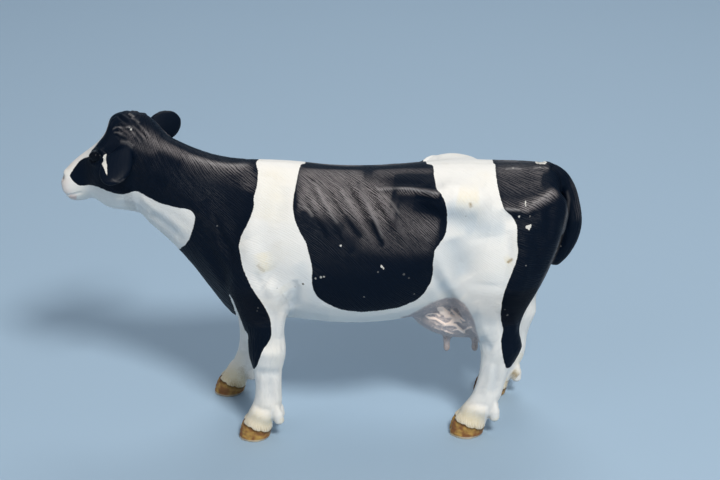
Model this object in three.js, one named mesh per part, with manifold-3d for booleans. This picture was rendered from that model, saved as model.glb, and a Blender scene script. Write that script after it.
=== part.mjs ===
// Toy cow figure, standing, moulded in pieces that plug into the trunk.
// Millimetres, +Z up, the cow faces -X, its left side is -Y.

import * as THREE from 'three';
import { mergeVertices } from 'three/addons/utils/BufferGeometryUtils.js';
import Module from 'manifold-3d';

const wasm = await Module();
wasm.setup();

// trunk and neck
const trunkLength = 100;
const trunkDepth = 42;
const barrelWidth = 37;
const legHeight = 28;

// top along, top height, under along, under height, half width,
// height of the widest line, fullness above it and below it
const trunkShares = [
  [1.006, 0.86, 0.998, 0.69, 0.15, 0.5, 2.2, 2.2],
  [0.996, 0.925, 0.982, 0.5, 0.225, 0.55, 2.3, 2.1],
  [0.966, 0.957, 0.95, 0.36, 0.268, 0.6, 2.2, 2],
  [0.91, 0.964, 0.905, 0.25, 0.314, 0.64, 2.2, 2],
  [0.84, 0.964, 0.845, 0.155, 0.368, 0.68, 2.1, 2],
  [0.76, 0.968, 0.775, 0.09, 0.411, 0.68, 2.05, 2],
  [0.68, 0.962, 0.695, 0.045, 0.438, 0.55, 1.95, 2.1],
  [0.6, 0.948, 0.605, 0.017, 0.484, 0.45, 1.85, 2.15],
  [0.52, 0.941, 0.52, 0.007, 0.5, 0.42, 1.85, 2.2],
  [0.44, 0.948, 0.44, 0.008, 0.481, 0.43, 1.85, 2.2],
  [0.36, 0.972, 0.365, 0.017, 0.441, 0.46, 1.85, 2.1],
  [0.29, 0.984, 0.295, 0.01, 0.4, 0.48, 1.8, 2],
  [0.24, 0.988, 0.24, -0.014, 0.357, 0.48, 1.8, 1.9],
  [0.205, 0.993, 0.2, 0.014, 0.308, 0.5, 1.8, 1.8],
  [0.17, 1.012, 0.157, 0.143, 0.259, 0.52, 1.8, 1.8],
  [0.13, 1.043, 0.11, 0.31, 0.227, 0.54, 1.85, 1.8],
  [0.09, 1.086, 0.06, 0.457, 0.205, 0.56, 1.9, 1.8],
  [0.057, 1.126, 0.012, 0.576, 0.195, 0.58, 2, 1.9],
];

// hip bones, and the pin bones beside the tail
const hookLength = 18;
const hookWidth = 10;
const hookHeight = 9;
const hookPlaceShares = [0.752, 0.31, 0.834];
const pinLength = 11;
const pinWidth = 7.4;
const pinHeight = 16;
const pinPlaceShares = [0.972, 0.18, 0.7];

// fore legs
const shoulderLength = 18;
const foreShankDepth = 9;
const shankWidth = 8;
const foreHoofSpacing = 23.6;
const foreStride = 8.4;
const foreSpread = 0.9;
const forePlaceShare = 0.285;

// front along, front height, rear along, rear height, out from the middle, half width,
// share of the stride and spread that set the far leg apart
const shoulderShares = [
  [-0.222, 0.762, 0.194, 0.774, 0.222, 0.081, 0],
  [-0.378, 0.667, 0.306, 0.69, 0.232, 0.124, 0],
  [-0.472, 0.524, 0.428, 0.571, 0.243, 0.151, 0.01],
  [-0.517, 0.393, 0.483, 0.44, 0.254, 0.159, 0.04],
  [-0.472, 0.262, 0.461, 0.298, 0.27, 0.151, 0.1],
  [-0.383, 0.155, 0.383, 0.19, 0.292, 0.132, 0.2],
  [-0.306, 0.071, 0.294, 0.09, 0.308, 0.116, 0.28],
];
const foreShankShares = [
  [-0.511, 0.982, 0.544, 1, 0.944, 0.475, 0.36],
  [-0.478, 0.875, 0.578, 0.886, 0.96, 0.463, 0.45],
  [-0.444, 0.779, 0.556, 0.771, 0.96, 0.463, 0.52],
  [-0.356, 0.671, 0.467, 0.657, 0.968, 0.388, 0.58],
  [-0.3, 0.554, 0.444, 0.536, 0.976, 0.325, 0.65],
  [-0.3, 0.429, 0.444, 0.414, 0.984, 0.312, 0.73],
  [-0.367, 0.329, 0.433, 0.307, 0.992, 0.362, 0.8],
  [-0.489, 0.25, 0.256, 0.221, 1, 0.4, 0.85],
  [-0.6, 0.179, 0.178, 0.154, 1, 0.438, 0.9],
  [-0.733, 0.104, 0.144, 0.082, 1, 0.487, 0.95],
  [-0.833, -0.036, 0.056, -0.043, 1, 0.512, 1],
];

// hind legs
const thighLength = 25;
const hindShankDepth = 9;
const hindHoofSpacing = 20.4;
const hindStride = 7.5;
const hindSpread = 1.5;
const hindPlaceShare = 0.865;
const thighShares = [
  [-0.18, 0.798, 0.34, 0.821, 0.203, 0.081, 0],
  [-0.32, 0.714, 0.52, 0.75, 0.222, 0.13, 0.03],
  [-0.44, 0.571, 0.58, 0.619, 0.236, 0.168, 0.15],
  [-0.52, 0.429, 0.525, 0.488, 0.245, 0.186, 0.35],
  [-0.528, 0.298, 0.44, 0.357, 0.256, 0.18, 0.62],
  [-0.468, 0.186, 0.34, 0.238, 0.265, 0.16, 0.82],
  [-0.38, 0.095, 0.252, 0.138, 0.27, 0.135, 0.9],
];
const hindShankShares = [
  [-0.811, 1.029, 0.567, 1.071, 0.98, 0.537, 0.88],
  [-0.611, 0.929, 0.567, 0.964, 0.98, 0.475, 0.82],
  [-0.511, 0.821, 0.644, 0.857, 0.98, 0.45, 0.75],
  [-0.5, 0.707, 0.478, 0.729, 0.985, 0.388, 0.78],
  [-0.533, 0.589, 0.3, 0.6, 0.99, 0.338, 0.88],
  [-0.611, 0.475, 0.178, 0.471, 0.984, 0.325, 1],
  [-0.722, 0.371, 0.089, 0.35, 0.992, 0.35, 1],
  [-0.922, 0.279, -0.122, 0.25, 1, 0.4, 1],
  [-1.122, 0.193, -0.222, 0.171, 1, 0.438, 1],
  [-1.278, 0.111, -0.3, 0.093, 1, 0.487, 1],
  [-1.367, -0.036, -0.411, -0.043, 1, 0.512, 1],
];

// hooves and dewclaws
const cleftWidth = 0.8;
const cleftLength = 4.5;
const cleftHeight = 5;
const dewclawLength = 7.6;
const dewclawWidth = 2.9;
const dewclawSpacing = 3.4;
const dewclawTipShare = 0.135;
const foreDewclawShare = 0.4;
const foreDewclawLean = 0.22;
const hindDewclawShare = -0.07;
const hindDewclawLean = 0.04;

// radius and height of a dewclaw's outline, from its tip up
const dewclawShares = [[0, 0], [0.88, 0.12], [0.98, 0.42], [0, 1]];

// head
const headLength = 28;
const headWidth = 15;
const headTurn = 0.21;
const headPegWidth = 6;
const headPegLength = 7;
const headShares = [
  [-0.061, 0.412, 0.104, -0.412, 0.48, 0.58, 2, 1.9],
  [0.034, 0.53, 0.166, -0.315, 0.487, 0.55, 1.9, 1.9],
  [0.123, 0.623, 0.284, -0.284, 0.493, 0.5, 1.75, 1.9],
  [0.255, 0.652, 0.387, -0.28, 0.507, 0.47, 1.7, 1.9],
  [0.366, 0.602, 0.491, -0.262, 0.507, 0.5, 1.75, 1.9],
  [0.448, 0.48, 0.569, -0.212, 0.487, 0.58, 2, 1.9],
  [0.537, 0.363, 0.63, -0.188, 0.413, 0.6, 2.2, 2],
  [0.63, 0.28, 0.683, -0.205, 0.347, 0.58, 2.2, 2],
  [0.727, 0.207, 0.74, -0.22, 0.327, 0.52, 2.2, 2.1],
  [0.812, 0.135, 0.814, -0.215, 0.333, 0.5, 2.3, 2.2],
  [0.874, 0.067, 0.862, -0.165, 0.293, 0.5, 2.2, 2.2],
  [0.9, 0.015, 0.892, -0.085, 0.173, 0.5, 2, 2],
];
const eyeWidth = 3.6;
const eyeHeight = 2.8;
const eyePlaceShares = [0.51, 0.43, 0.28];
const nostrilWidth = 1.7;
const nostrilHeight = 1.2;
const nostrilPlaceShares = [0.877, 0.2, 0.02];

// ears
const earLength = 11.5;
const earWidth = 7.6;
const earThickness = 2.8;
const earCupDepth = 1.6;
const earRootPlaceShares = [0.22, 0.4, 0.36];
const leftEarRoll = 0.15;
const rightEarRoll = 1.05;
const leftEarTipShares = [0.29, 1.03, 0.16];
const rightEarTipShares = [-0.03, 1.03, 0.41];

// place along the ear, half width, half thickness
const earShares = [
  [-0.2, 0.2, 0.36],
  [0.02, 0.23, 0.42],
  [0.2, 0.36, 0.48],
  [0.4, 0.48, 0.5],
  [0.6, 0.5, 0.46],
  [0.8, 0.42, 0.38],
  [0.93, 0.26, 0.28],
  [1, 0.08, 0.12],
];

// tail
const tailDrop = 27.5;
const tailWidth = 4.2;
const tailPlaceShares = [0.95, 0.976];

// outer along, outer height, inner along, inner height, half width
const tailShares = [
  [-0.02, 0, -0.02, -0.15, 0.36],
  [0.16, -0.01, 0.1, -0.16, 0.42],
  [0.26, -0.08, 0.165, -0.205, 0.45],
  [0.35, -0.21, 0.225, -0.3, 0.46],
  [0.4, -0.36, 0.25, -0.415, 0.48],
  [0.433, -0.535, 0.258, -0.55, 0.5],
  [0.422, -0.68, 0.252, -0.658, 0.5],
  [0.378, -0.804, 0.235, -0.764, 0.5],
  [0.313, -0.913, 0.182, -0.858, 0.46],
  [0.233, -0.989, 0.131, -0.924, 0.38],
  [0.19, -1, 0.131, -0.975, 0.2],
];

// udder
const udderLength = 21.5;
const udderWidth = 16.4;
const udderDepth = 11;
const udderPlaceShare = 0.64;
const udderSinkShare = 0.46;

// top along, top height, under along, under height, half width
const udderShares = [
  [0, 0.75, 0.04, 0.52, 0.15],
  [0.1, 0.88, 0.12, 0.32, 0.3],
  [0.27, 1, 0.29, 0.13, 0.43],
  [0.46, 1.04, 0.48, 0.03, 0.49],
  [0.65, 1.05, 0.67, 0, 0.5],
  [0.79, 1.02, 0.81, 0.02, 0.45],
  [0.92, 0.95, 0.94, 0.2, 0.34],
  [0.98, 0.85, 0.99, 0.5, 0.18],
];
const teatLength = 4.6;
const teatWidth = 2.1;
const teatAlongShares = [0.46, 0.79];
const teatAcrossShare = 0.23;
const teatRootShare = 0.12;
const teatShares = [[0, 0], [0.6, 0.05], [0.85, 0.2], [0.8, 0.5], [1, 0.85], [0, 1]];

// fits and fineness
const seatGap = 0.3;
const overrun = 3;
const ringSteps = 25;
const limbRingSteps = 16;
const smallRingSteps = 12;
const rowSteps = 2;

const blackPaint = 0x14161b;
const whitePaint = 0xeceae4;
const udderPaint = 0xc9a99f;

// closed solid from a geometry, and back again
function solid(geometry) {
  const bare = geometry.index ? geometry.toNonIndexed() : geometry.clone();
  bare.deleteAttribute('normal');
  bare.deleteAttribute('uv');
  const merged = mergeVertices(bare);
  const mesh = new wasm.Mesh({
    numProp: 3,
    vertProperties: Float32Array.from(merged.attributes.position.array),
    triVerts: Uint32Array.from(merged.index.array),
  });
  return new wasm.Manifold(mesh);
}

function geometryOf(manifold) {
  const mesh = manifold.getMesh();
  const geometry = new THREE.BufferGeometry();
  geometry.setAttribute('position', new THREE.BufferAttribute(mesh.vertProperties, 3));
  geometry.setIndex(new THREE.BufferAttribute(mesh.triVerts, 1));
  const flat = geometry.toNonIndexed();
  flat.computeVertexNormals();
  return flat;
}

function placed(geometry, matrix) {
  return solid(geometry.applyMatrix4(matrix));
}

// rows of numbers, with smooth rows added between them
function smoothRows(rows, steps) {
  const out = [];
  const row = (i) => rows[Math.min(Math.max(i, 0), rows.length - 1)];
  for (let i = 0; i < rows.length - 1; i += 1) {
    for (let step = 0; step < steps; step += 1) {
      const t = step / steps;
      out.push(row(i).map((_, c) => hermite(row(i - 1)[c], row(i)[c], row(i + 1)[c], row(i + 2)[c], t)));
    }
  }
  out.push(rows[rows.length - 1]);
  return out;
}

function hermite(before, start, end, after, t) {
  const leave = (end - before) / 2;
  const arrive = (after - start) / 2;
  const bend = t * t * (3 - 2 * t);
  return start + (end - start) * bend + leave * t * (1 - t) * (1 - t) - arrive * t * t * (1 - t);
}

// one ring: the section stands on its middle, with an up arm and a side arm
function ringPoints(ring, steps) {
  const points = [];
  for (let i = 0; i < steps; i += 1) {
    const angle = (2 * Math.PI * i) / steps;
    const c = Math.cos(angle);
    const s = Math.sin(angle);
    const full = c >= 0 ? ring.above : ring.below;
    const up = Math.sign(c) * Math.abs(c) ** (2 / full);
    const side = Math.sign(s) * Math.abs(s) ** (2 / full);
    const wide = 2 * ring.widest - 1;
    const rise = wide + up * (c >= 0 ? 1 - wide : 1 + wide);
    const point = ring.middle.clone();
    point.addScaledVector(ring.up, rise).addScaledVector(ring.side, side);
    points.push(point);
  }
  return points;
}

// rings made larger all round, and pushed out at both ends
function grownRings(rings, gap) {
  const last = rings.length - 1;
  return rings.map((ring, i) => {
    const middle = ring.middle.clone();
    const beside = i === 0 ? rings[1] : rings[last - 1];
    if (i === 0 || i === last) {
      middle.add(ring.middle.clone().sub(beside.middle).setLength(gap));
    }
    const up = ring.up.clone().setLength(ring.up.length() + gap);
    const side = ring.side.clone().setLength(ring.side.length() + gap);
    return { ...ring, middle, up, side };
  });
}

function skinOf(rings, steps) {
  const points = rings.flatMap((ring) => ringPoints(ring, steps));
  const faces = [];
  for (let r = 0; r < rings.length - 1; r += 1) {
    for (let i = 0; i < steps; i += 1) {
      const a = r * steps + i;
      const b = r * steps + ((i + 1) % steps);
      faces.push(a, b, b + steps, a, b + steps, a + steps);
    }
  }
  const start = points.length;
  points.push(rings[0].middle, rings[rings.length - 1].middle);
  const end = (rings.length - 1) * steps;
  for (let i = 0; i < steps; i += 1) {
    const next = (i + 1) % steps;
    faces.push(start, next, i);
    faces.push(start + 1, end + i, end + next);
  }
  return outward(points, faces);
}

// a closed skin whose faces all look outward
function outward(points, faces) {
  let volume = 0;
  for (let i = 0; i < faces.length; i += 3) {
    const [a, b, c] = [points[faces[i]], points[faces[i + 1]], points[faces[i + 2]]];
    volume += a.dot(b.clone().cross(c));
  }
  const turned = [];
  for (let i = 0; i < faces.length; i += 3) {
    const [a, b, c] = faces.slice(i, i + 3);
    turned.push(...(volume > 0 ? [a, b, c] : [a, c, b]));
  }
  const geometry = new THREE.BufferGeometry();
  geometry.setAttribute('position', new THREE.Float32BufferAttribute(points.flatMap((p) => p.toArray()), 3));
  geometry.setIndex(turned);
  return geometry;
}

// a side view row as a ring that stands across the cow
function sideRing([topX, topZ, underX, underZ, y, half, widest, above, below]) {
  return {
    middle: new THREE.Vector3((topX + underX) / 2, y, (topZ + underZ) / 2),
    up: new THREE.Vector3((topX - underX) / 2, 0, (topZ - underZ) / 2),
    side: new THREE.Vector3(0, half, 0),
    widest,
    above,
    below,
  };
}

// trunk
function trunkRows() {
  return trunkShares.map(([topX, topZ, underX, underZ, half, ...shape]) => [
    topX * trunkLength,
    legHeight + topZ * trunkDepth,
    underX * trunkLength,
    legHeight + underZ * trunkDepth,
    0,
    half * barrelWidth,
    ...shape,
  ]);
}

function neckEnd() {
  const rings = trunkRows().map(sideRing);
  return rings[rings.length - 1];
}

function trunkBody() {
  const rings = smoothRows(trunkRows(), rowSteps).map(sideRing);
  const end = rings[rings.length - 1];
  const before = rings[rings.length - 2];
  const ahead = end.middle.clone().sub(before.middle).setLength(overrun);
  rings.push({ ...end, middle: end.middle.clone().add(ahead) });
  return solid(skinOf(rings, ringSteps));
}

function bone(length, width, height, shares, side) {
  const [along, across, up] = shares;
  const bead = new THREE.SphereGeometry(1 / 2, smallRingSteps, smallRingSteps / 2);
  bead.scale(length, width, height);
  bead.translate(along * trunkLength, side * across * barrelWidth, legHeight + up * trunkDepth);
  return solid(bead);
}

// legs
function legRows(side, leg) {
  const { upperShares, upperLength, shankShares, shankDepth, hoofSpacing } = leg;
  const x = leg.placeShare * trunkLength;
  const shift = side > 0 ? leg.stride : 0;
  const spread = side > 0 ? leg.spread : 0;
  const upper = upperShares.map(([frontX, frontZ, rearX, rearZ, out, half, share]) => [
    x + frontX * upperLength + share * shift,
    legHeight + frontZ * trunkDepth,
    x + rearX * upperLength + share * shift,
    legHeight + rearZ * trunkDepth,
    side * out * barrelWidth + share * spread,
    half * barrelWidth,
    1 / 2, 2, 2,
  ]);
  const shank = shankShares.map(([frontX, frontZ, rearX, rearZ, out, half, share]) => [
    x + frontX * shankDepth + share * shift,
    frontZ * legHeight,
    x + rearX * shankDepth + share * shift,
    rearZ * legHeight,
    (side * out * hoofSpacing) / 2 + share * spread,
    half * shankWidth,
    1 / 2, 2, 2,
  ]);
  return [...upper, ...shank];
}

const foreLeg = {
  placeShare: forePlaceShare,
  stride: -foreStride,
  spread: foreSpread,
  upperShares: shoulderShares,
  upperLength: shoulderLength,
  shankShares: foreShankShares,
  shankDepth: foreShankDepth,
  hoofSpacing: foreHoofSpacing,
  dewclawShare: foreDewclawShare,
  dewclawLean: foreDewclawLean,
};
const hindLeg = {
  placeShare: hindPlaceShare,
  stride: hindStride,
  spread: hindSpread,
  upperShares: thighShares,
  upperLength: thighLength,
  shankShares: hindShankShares,
  shankDepth: hindShankDepth,
  hoofSpacing: hindHoofSpacing,
  dewclawShare: hindDewclawShare,
  dewclawLean: hindDewclawLean,
};

function limb(rows, gap) {
  const rings = smoothRows(rows, rowSteps).map(sideRing);
  return solid(skinOf(gap > 0 ? grownRings(rings, gap) : rings, limbRingSteps));
}

function dewclaw(x, y, lean) {
  const outline = dewclawShares.map(([r, h]) => new THREE.Vector2((r * dewclawWidth) / 2, h * dewclawLength));
  const claw = new THREE.LatheGeometry(outline, smallRingSteps);
  claw.rotateX(Math.PI / 2);
  const stand = new THREE.Matrix4().makeRotationY(-lean);
  stand.setPosition(x, y, dewclawTipShare * legHeight);
  return placed(claw, stand);
}

function legPiece(side, leg) {
  const rows = legRows(side, leg);
  const sole = rows[rows.length - 1];
  const y = sole[4];
  const foot = leg.placeShare * trunkLength + (side > 0 ? leg.stride : 0);
  const x = foot + leg.dewclawShare * leg.shankDepth;
  let shape = limb(rows, 0);
  for (const across of [-1, 1]) {
    shape = shape.add(dewclaw(x, y + (across * dewclawSpacing) / 2, leg.dewclawLean));
  }
  const cleft = new THREE.BoxGeometry(cleftLength * 2, cleftWidth, cleftHeight * 2);
  cleft.translate(sole[0], y, 0);
  const ground = new THREE.BoxGeometry(trunkLength, trunkLength, legHeight);
  ground.translate(x, y, -legHeight / 2);
  return shape.subtract(solid(cleft)).subtract(solid(ground));
}

// head, drawn facing +X about the middle of the neck's end, then turned to face ahead
function headFrame() {
  const turn = new THREE.Matrix4().makeRotationZ(Math.PI - headTurn);
  return turn.setPosition(neckEnd().middle);
}

function headRings() {
  const rows = headShares.map(([topX, topZ, underX, underZ, half, ...shape]) => [
    topX * headLength,
    topZ * headLength,
    underX * headLength,
    underZ * headLength,
    0,
    half * headWidth,
    ...shape,
  ]);
  return smoothRows(rows, rowSteps).map(sideRing);
}

// the plane of the neck joint: its middle, its tilt and the way the head faces
function jointMatrix(back) {
  const { middle, up } = headRings()[0];
  const tilt = Math.atan2(up.x, up.z);
  const matrix = new THREE.Matrix4().makeRotationY(tilt);
  const ahead = new THREE.Vector3(1, 0, 0).applyMatrix4(matrix);
  matrix.setPosition(middle.clone().addScaledVector(ahead, -back));
  return matrix.premultiply(headFrame());
}

function headPeg(gap) {
  const radius = headPegWidth / 2 + gap;
  const peg = new THREE.CylinderGeometry(radius, radius, (headPegLength + gap) * 2, smallRingSteps);
  peg.rotateZ(Math.PI / 2);
  return placed(peg, jointMatrix(0));
}

function neckTrim() {
  const block = new THREE.BoxGeometry(trunkDepth, trunkDepth, trunkDepth);
  block.translate(trunkDepth / 2, 0, 0);
  return placed(block, jointMatrix(seatGap));
}

function headSpot(shares, side) {
  const [along, across, up] = shares;
  return new THREE.Vector3(along * headLength, -side * across * headWidth, up * headLength);
}

function headBead(length, width, height, shares, side) {
  const bead = new THREE.SphereGeometry(1 / 2, smallRingSteps, smallRingSteps / 2);
  bead.scale(length, width, height);
  const spot = headSpot(shares, side);
  bead.translate(spot.x, spot.y, spot.z);
  return placed(bead, headFrame());
}

function head() {
  let shape = placed(skinOf(headRings(), ringSteps), headFrame());
  shape = shape.add(headPeg(0));
  for (const side of [-1, 1]) {
    shape = shape.add(headBead(eyeWidth, eyeHeight, eyeHeight, eyePlaceShares, side));
    shape = shape.subtract(headBead(nostrilWidth, nostrilWidth, nostrilHeight, nostrilPlaceShares, side));
    shape = shape.subtract(earBlade(side, seatGap));
  }
  return shape;
}

// ears: the cup looks down, and turns to look ahead as the ear rolls
function earArms(axis, side) {
  const roll = side < 0 ? leftEarRoll : rightEarRoll;
  const ahead = new THREE.Vector3(1, 0, 0).addScaledVector(axis, -axis.x).normalize();
  const down = axis.clone().cross(ahead).multiplyScalar(-side);
  const broad = ahead.clone().multiplyScalar(Math.cos(roll)).addScaledVector(down, -Math.sin(roll));
  const thick = down.clone().multiplyScalar(Math.cos(roll)).addScaledVector(ahead, Math.sin(roll));
  return { broad, thick };
}

function earRings(side) {
  const root = headSpot(earRootPlaceShares, side);
  const tip = headSpot(side < 0 ? leftEarTipShares : rightEarTipShares, side);
  const axis = tip.clone().sub(root).normalize();
  const { broad, thick } = earArms(axis, side);
  const rows = smoothRows(earShares, rowSteps);
  return rows.map(([along, half, deep]) => ({
    middle: root.clone().addScaledVector(axis, along * earLength),
    up: thick.clone().multiplyScalar(deep * earThickness),
    side: broad.clone().multiplyScalar(half * earWidth),
    widest: 1 / 2,
    above: 2,
    below: 2,
  }));
}

function earBlade(side, gap) {
  const rings = earRings(side);
  return placed(skinOf(gap > 0 ? grownRings(rings, gap) : rings, smallRingSteps), headFrame());
}

function ear(side) {
  const rings = earRings(side);
  const middle = rings[Math.floor(rings.length / 2)];
  const cup = new THREE.SphereGeometry(1 / 2, limbRingSteps, limbRingSteps / 2);
  cup.scale(earLength - earThickness, earWidth - earThickness / 2, earCupDepth * 2);
  const axis = rings[rings.length - 1].middle.clone().sub(rings[0].middle).normalize();
  const out = middle.up.clone().normalize();
  const basis = new THREE.Matrix4().makeBasis(axis, out.clone().cross(axis), out);
  basis.setPosition(middle.middle.clone().addScaledVector(out, middle.up.length()));
  basis.premultiply(headFrame());
  return earBlade(side, 0).subtract(placed(cup, basis));
}

// tail
function tail(gap) {
  const [along, up] = tailPlaceShares;
  const rootX = along * trunkLength;
  const rootZ = legHeight + up * trunkDepth;
  const rows = tailShares.map(([outX, outZ, inX, inZ, half]) => [
    rootX + outX * tailDrop,
    rootZ + outZ * tailDrop,
    rootX + inX * tailDrop,
    rootZ + inZ * tailDrop,
    0,
    half * tailWidth,
    1 / 2, 2, 2,
  ]);
  const rings = smoothRows(rows, rowSteps).map(sideRing);
  return solid(skinOf(gap > 0 ? grownRings(rings, gap) : rings, smallRingSteps));
}

// udder
function udderBag(gap) {
  const x = udderPlaceShare * trunkLength;
  const z = legHeight - udderSinkShare * udderDepth;
  const rows = udderShares.map(([topX, topZ, underX, underZ, half]) => [
    x + topX * udderLength,
    z + topZ * udderDepth,
    x + underX * udderLength,
    z + underZ * udderDepth,
    0,
    half * udderWidth,
    1 / 2, 2.2, 2.2,
  ]);
  const rings = smoothRows(rows, rowSteps).map(sideRing);
  return solid(skinOf(gap > 0 ? grownRings(rings, gap) : rings, limbRingSteps));
}

function teat(alongShare, side) {
  const outline = teatShares.map(([r, h]) => new THREE.Vector2((r * teatWidth) / 2, h * teatLength));
  const shape = new THREE.LatheGeometry(outline, smallRingSteps);
  const stand = new THREE.Matrix4().makeRotationX(Math.PI / 2);
  const x = udderPlaceShare * trunkLength + alongShare * udderLength;
  const z = legHeight - (udderSinkShare - teatRootShare) * udderDepth - teatLength;
  stand.setPosition(x, side * teatAcrossShare * udderWidth, z);
  return placed(shape, stand);
}

function udder(hindCuts) {
  let shape = udderBag(0);
  for (const cut of hindCuts) {
    shape = shape.subtract(cut);
  }
  for (const alongShare of teatAlongShares) {
    for (const side of [-1, 1]) {
      shape = shape.add(teat(alongShare, side));
    }
  }
  return shape;
}

function trunk(cuts) {
  let shape = trunkBody();
  for (const side of [-1, 1]) {
    shape = shape.add(bone(hookLength, hookWidth, hookHeight, hookPlaceShares, side));
    shape = shape.add(bone(pinLength, pinWidth, pinHeight, pinPlaceShares, side));
  }
  shape = shape.subtract(neckTrim()).subtract(headPeg(seatGap));
  for (const cut of cuts) {
    shape = shape.subtract(cut);
  }
  return shape;
}

// the figure
const figure = new THREE.Group();

function addPiece(name, shape, color, roughness) {
  const material = new THREE.MeshStandardMaterial({ color, roughness, metalness: 0 });
  const mesh = new THREE.Mesh(geometryOf(shape), material);
  mesh.name = name;
  figure.add(mesh);
}

const hindCuts = [-1, 1].map((side) => limb(legRows(side, hindLeg), seatGap));
const foreCuts = [-1, 1].map((side) => limb(legRows(side, foreLeg), seatGap));

addPiece('trunk', trunk([...hindCuts, ...foreCuts, tail(seatGap), udderBag(seatGap)]), whitePaint, 0.45);
addPiece('head', head(), blackPaint, 0.45);
addPiece('ear_left', ear(-1), blackPaint, 0.5);
addPiece('ear_right', ear(1), blackPaint, 0.5);
addPiece('foreleg_left', legPiece(-1, foreLeg), whitePaint, 0.45);
addPiece('foreleg_right', legPiece(1, foreLeg), whitePaint, 0.45);
addPiece('hindleg_left', legPiece(-1, hindLeg), whitePaint, 0.45);
addPiece('hindleg_right', legPiece(1, hindLeg), whitePaint, 0.45);
addPiece('udder', udder(hindCuts), udderPaint, 0.5);
addPiece('tail', tail(0), blackPaint, 0.5);

const bounds = new THREE.Box3().setFromObject(figure);
const centre = bounds.getCenter(new THREE.Vector3());
figure.position.set(-centre.x, -centre.y, -bounds.min.z);

export default figure;
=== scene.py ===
# Toy cow figure: a fine skin over the CAD pieces, painted by procedural materials.
import math

import bpy
import numpy as np
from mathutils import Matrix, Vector
from mathutils.bvhtree import BVHTree


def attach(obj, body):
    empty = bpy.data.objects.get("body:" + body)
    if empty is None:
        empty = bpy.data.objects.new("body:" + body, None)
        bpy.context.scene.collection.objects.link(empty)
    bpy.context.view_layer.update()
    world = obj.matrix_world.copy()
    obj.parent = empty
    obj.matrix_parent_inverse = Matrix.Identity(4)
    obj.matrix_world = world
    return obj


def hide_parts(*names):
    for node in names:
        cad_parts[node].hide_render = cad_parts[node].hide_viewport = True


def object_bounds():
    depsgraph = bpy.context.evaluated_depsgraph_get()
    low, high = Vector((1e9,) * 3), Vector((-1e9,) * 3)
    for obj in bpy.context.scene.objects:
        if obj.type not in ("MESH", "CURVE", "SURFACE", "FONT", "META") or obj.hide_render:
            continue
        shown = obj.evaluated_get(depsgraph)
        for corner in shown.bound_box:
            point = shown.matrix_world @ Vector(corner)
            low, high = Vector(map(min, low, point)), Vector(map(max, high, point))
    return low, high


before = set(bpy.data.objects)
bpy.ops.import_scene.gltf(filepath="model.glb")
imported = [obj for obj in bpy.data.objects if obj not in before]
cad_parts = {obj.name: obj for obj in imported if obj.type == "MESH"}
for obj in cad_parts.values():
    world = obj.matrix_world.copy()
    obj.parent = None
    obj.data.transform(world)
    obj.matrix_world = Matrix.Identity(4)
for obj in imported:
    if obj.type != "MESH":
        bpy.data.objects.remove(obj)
CAD_LOW, CAD_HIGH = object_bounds()

# voxels of the first and the last skin, how far the pieces swell to close their seams, how far the body's
# smoothing reaches, and the box and the reach in which a face looks for its piece, in millimetres
FIRST_VOXEL = 0.4
SKIN_VOXEL = 0.28
SEAM = 0.2
SMOOTH_REACH = 1.7
BOX_MARGIN = 1.5
SEARCH = 4.0
# shares of a step of smoothing in, and of the step back out that keeps the size
STEP_IN = 0.5
STEP_OUT = 0.53

# the pieces and their paint; a piece's label is its place in this list
SLOTS = {
    "trunk": "body_paint", "head": "head_paint", "ear_left": "ear_paint", "ear_right": "ear_paint",
    "foreleg_left": "leg_paint", "foreleg_right": "leg_paint", "hindleg_left": "leg_paint",
    "hindleg_right": "leg_paint", "udder": "udder_paint", "tail": "tail_paint",
}
NODES = list(SLOTS)
TRUNK, HEAD, EAR_LEFT, EAR_RIGHT, FORE_LEFT, FORE_RIGHT, HIND_LEFT, HIND_RIGHT, UDDER, TAIL = range(10)
EARS = (EAR_LEFT, EAR_RIGHT)
FORE = (FORE_LEFT, FORE_RIGHT)
HIND = (HIND_LEFT, HIND_RIGHT)
BODY = (TRUNK, *FORE, *HIND)
NECK = (HEAD, *BODY)

# the camera of the photograph, in pixels and millimetres
FOCAL = 1614.0
REACH = 401.0
RISE = math.radians(22.0)
COS, SIN = math.cos(RISE), math.sin(RISE)
AIM = np.array([9.37, 0.0, 48.4])
CAMERA_AT = AIM + np.array([0, -REACH * COS, REACH * SIN])
MIDDLE_X, MIDDLE_Y = 360, 240
PIXEL = REACH / FOCAL

# the head's own frame
HEAD_AT = np.array([-39.18, 0.0, 63.74])
HEAD_TURN = 0.21
AHEAD = np.array([-math.cos(HEAD_TURN), math.sin(HEAD_TURN), 0.0])
LEFT = np.array([-math.sin(HEAD_TURN), -math.cos(HEAD_TURN), 0.0])


def photo(points):
    """Pixels of points in millimetres, seen by the photograph's camera."""
    d = points - AIM
    depth = REACH + d[:, 1] * COS - d[:, 2] * SIN
    across = MIDDLE_X + FOCAL * d[:, 0] / depth
    down = MIDDLE_Y - FOCAL * (d[:, 2] * COS + d[:, 1] * SIN) / depth
    return np.stack([across, down], 1)


def on_head(points):
    """How far points are ahead of the neck's end and left of the face's middle."""
    local = points - HEAD_AT
    return local @ AHEAD, local @ LEFT


def smoothstep(low, high, x):
    t = np.clip((x - low) / (high - low), 0, 1)
    return t * t * (3 - 2 * t)


def spot(places, middle, sizes):
    """A soft spot: 1 at its middle."""
    return np.exp(-0.5 * (((places - middle) / sizes) ** 2).sum(axis=1))


def in_box(places, low, high):
    return ((places > low) & (places < high)).all(axis=1)


# Mesh tools

def read(items, key, each, kind=float):
    """The values of a mesh's items in one run."""
    out = np.empty(len(items) * each, dtype=kind)
    items.foreach_get(key, out)
    return out


def placed(name, data):
    obj = bpy.data.objects.new(name, data)
    bpy.context.scene.collection.objects.link(obj)
    return obj


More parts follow.
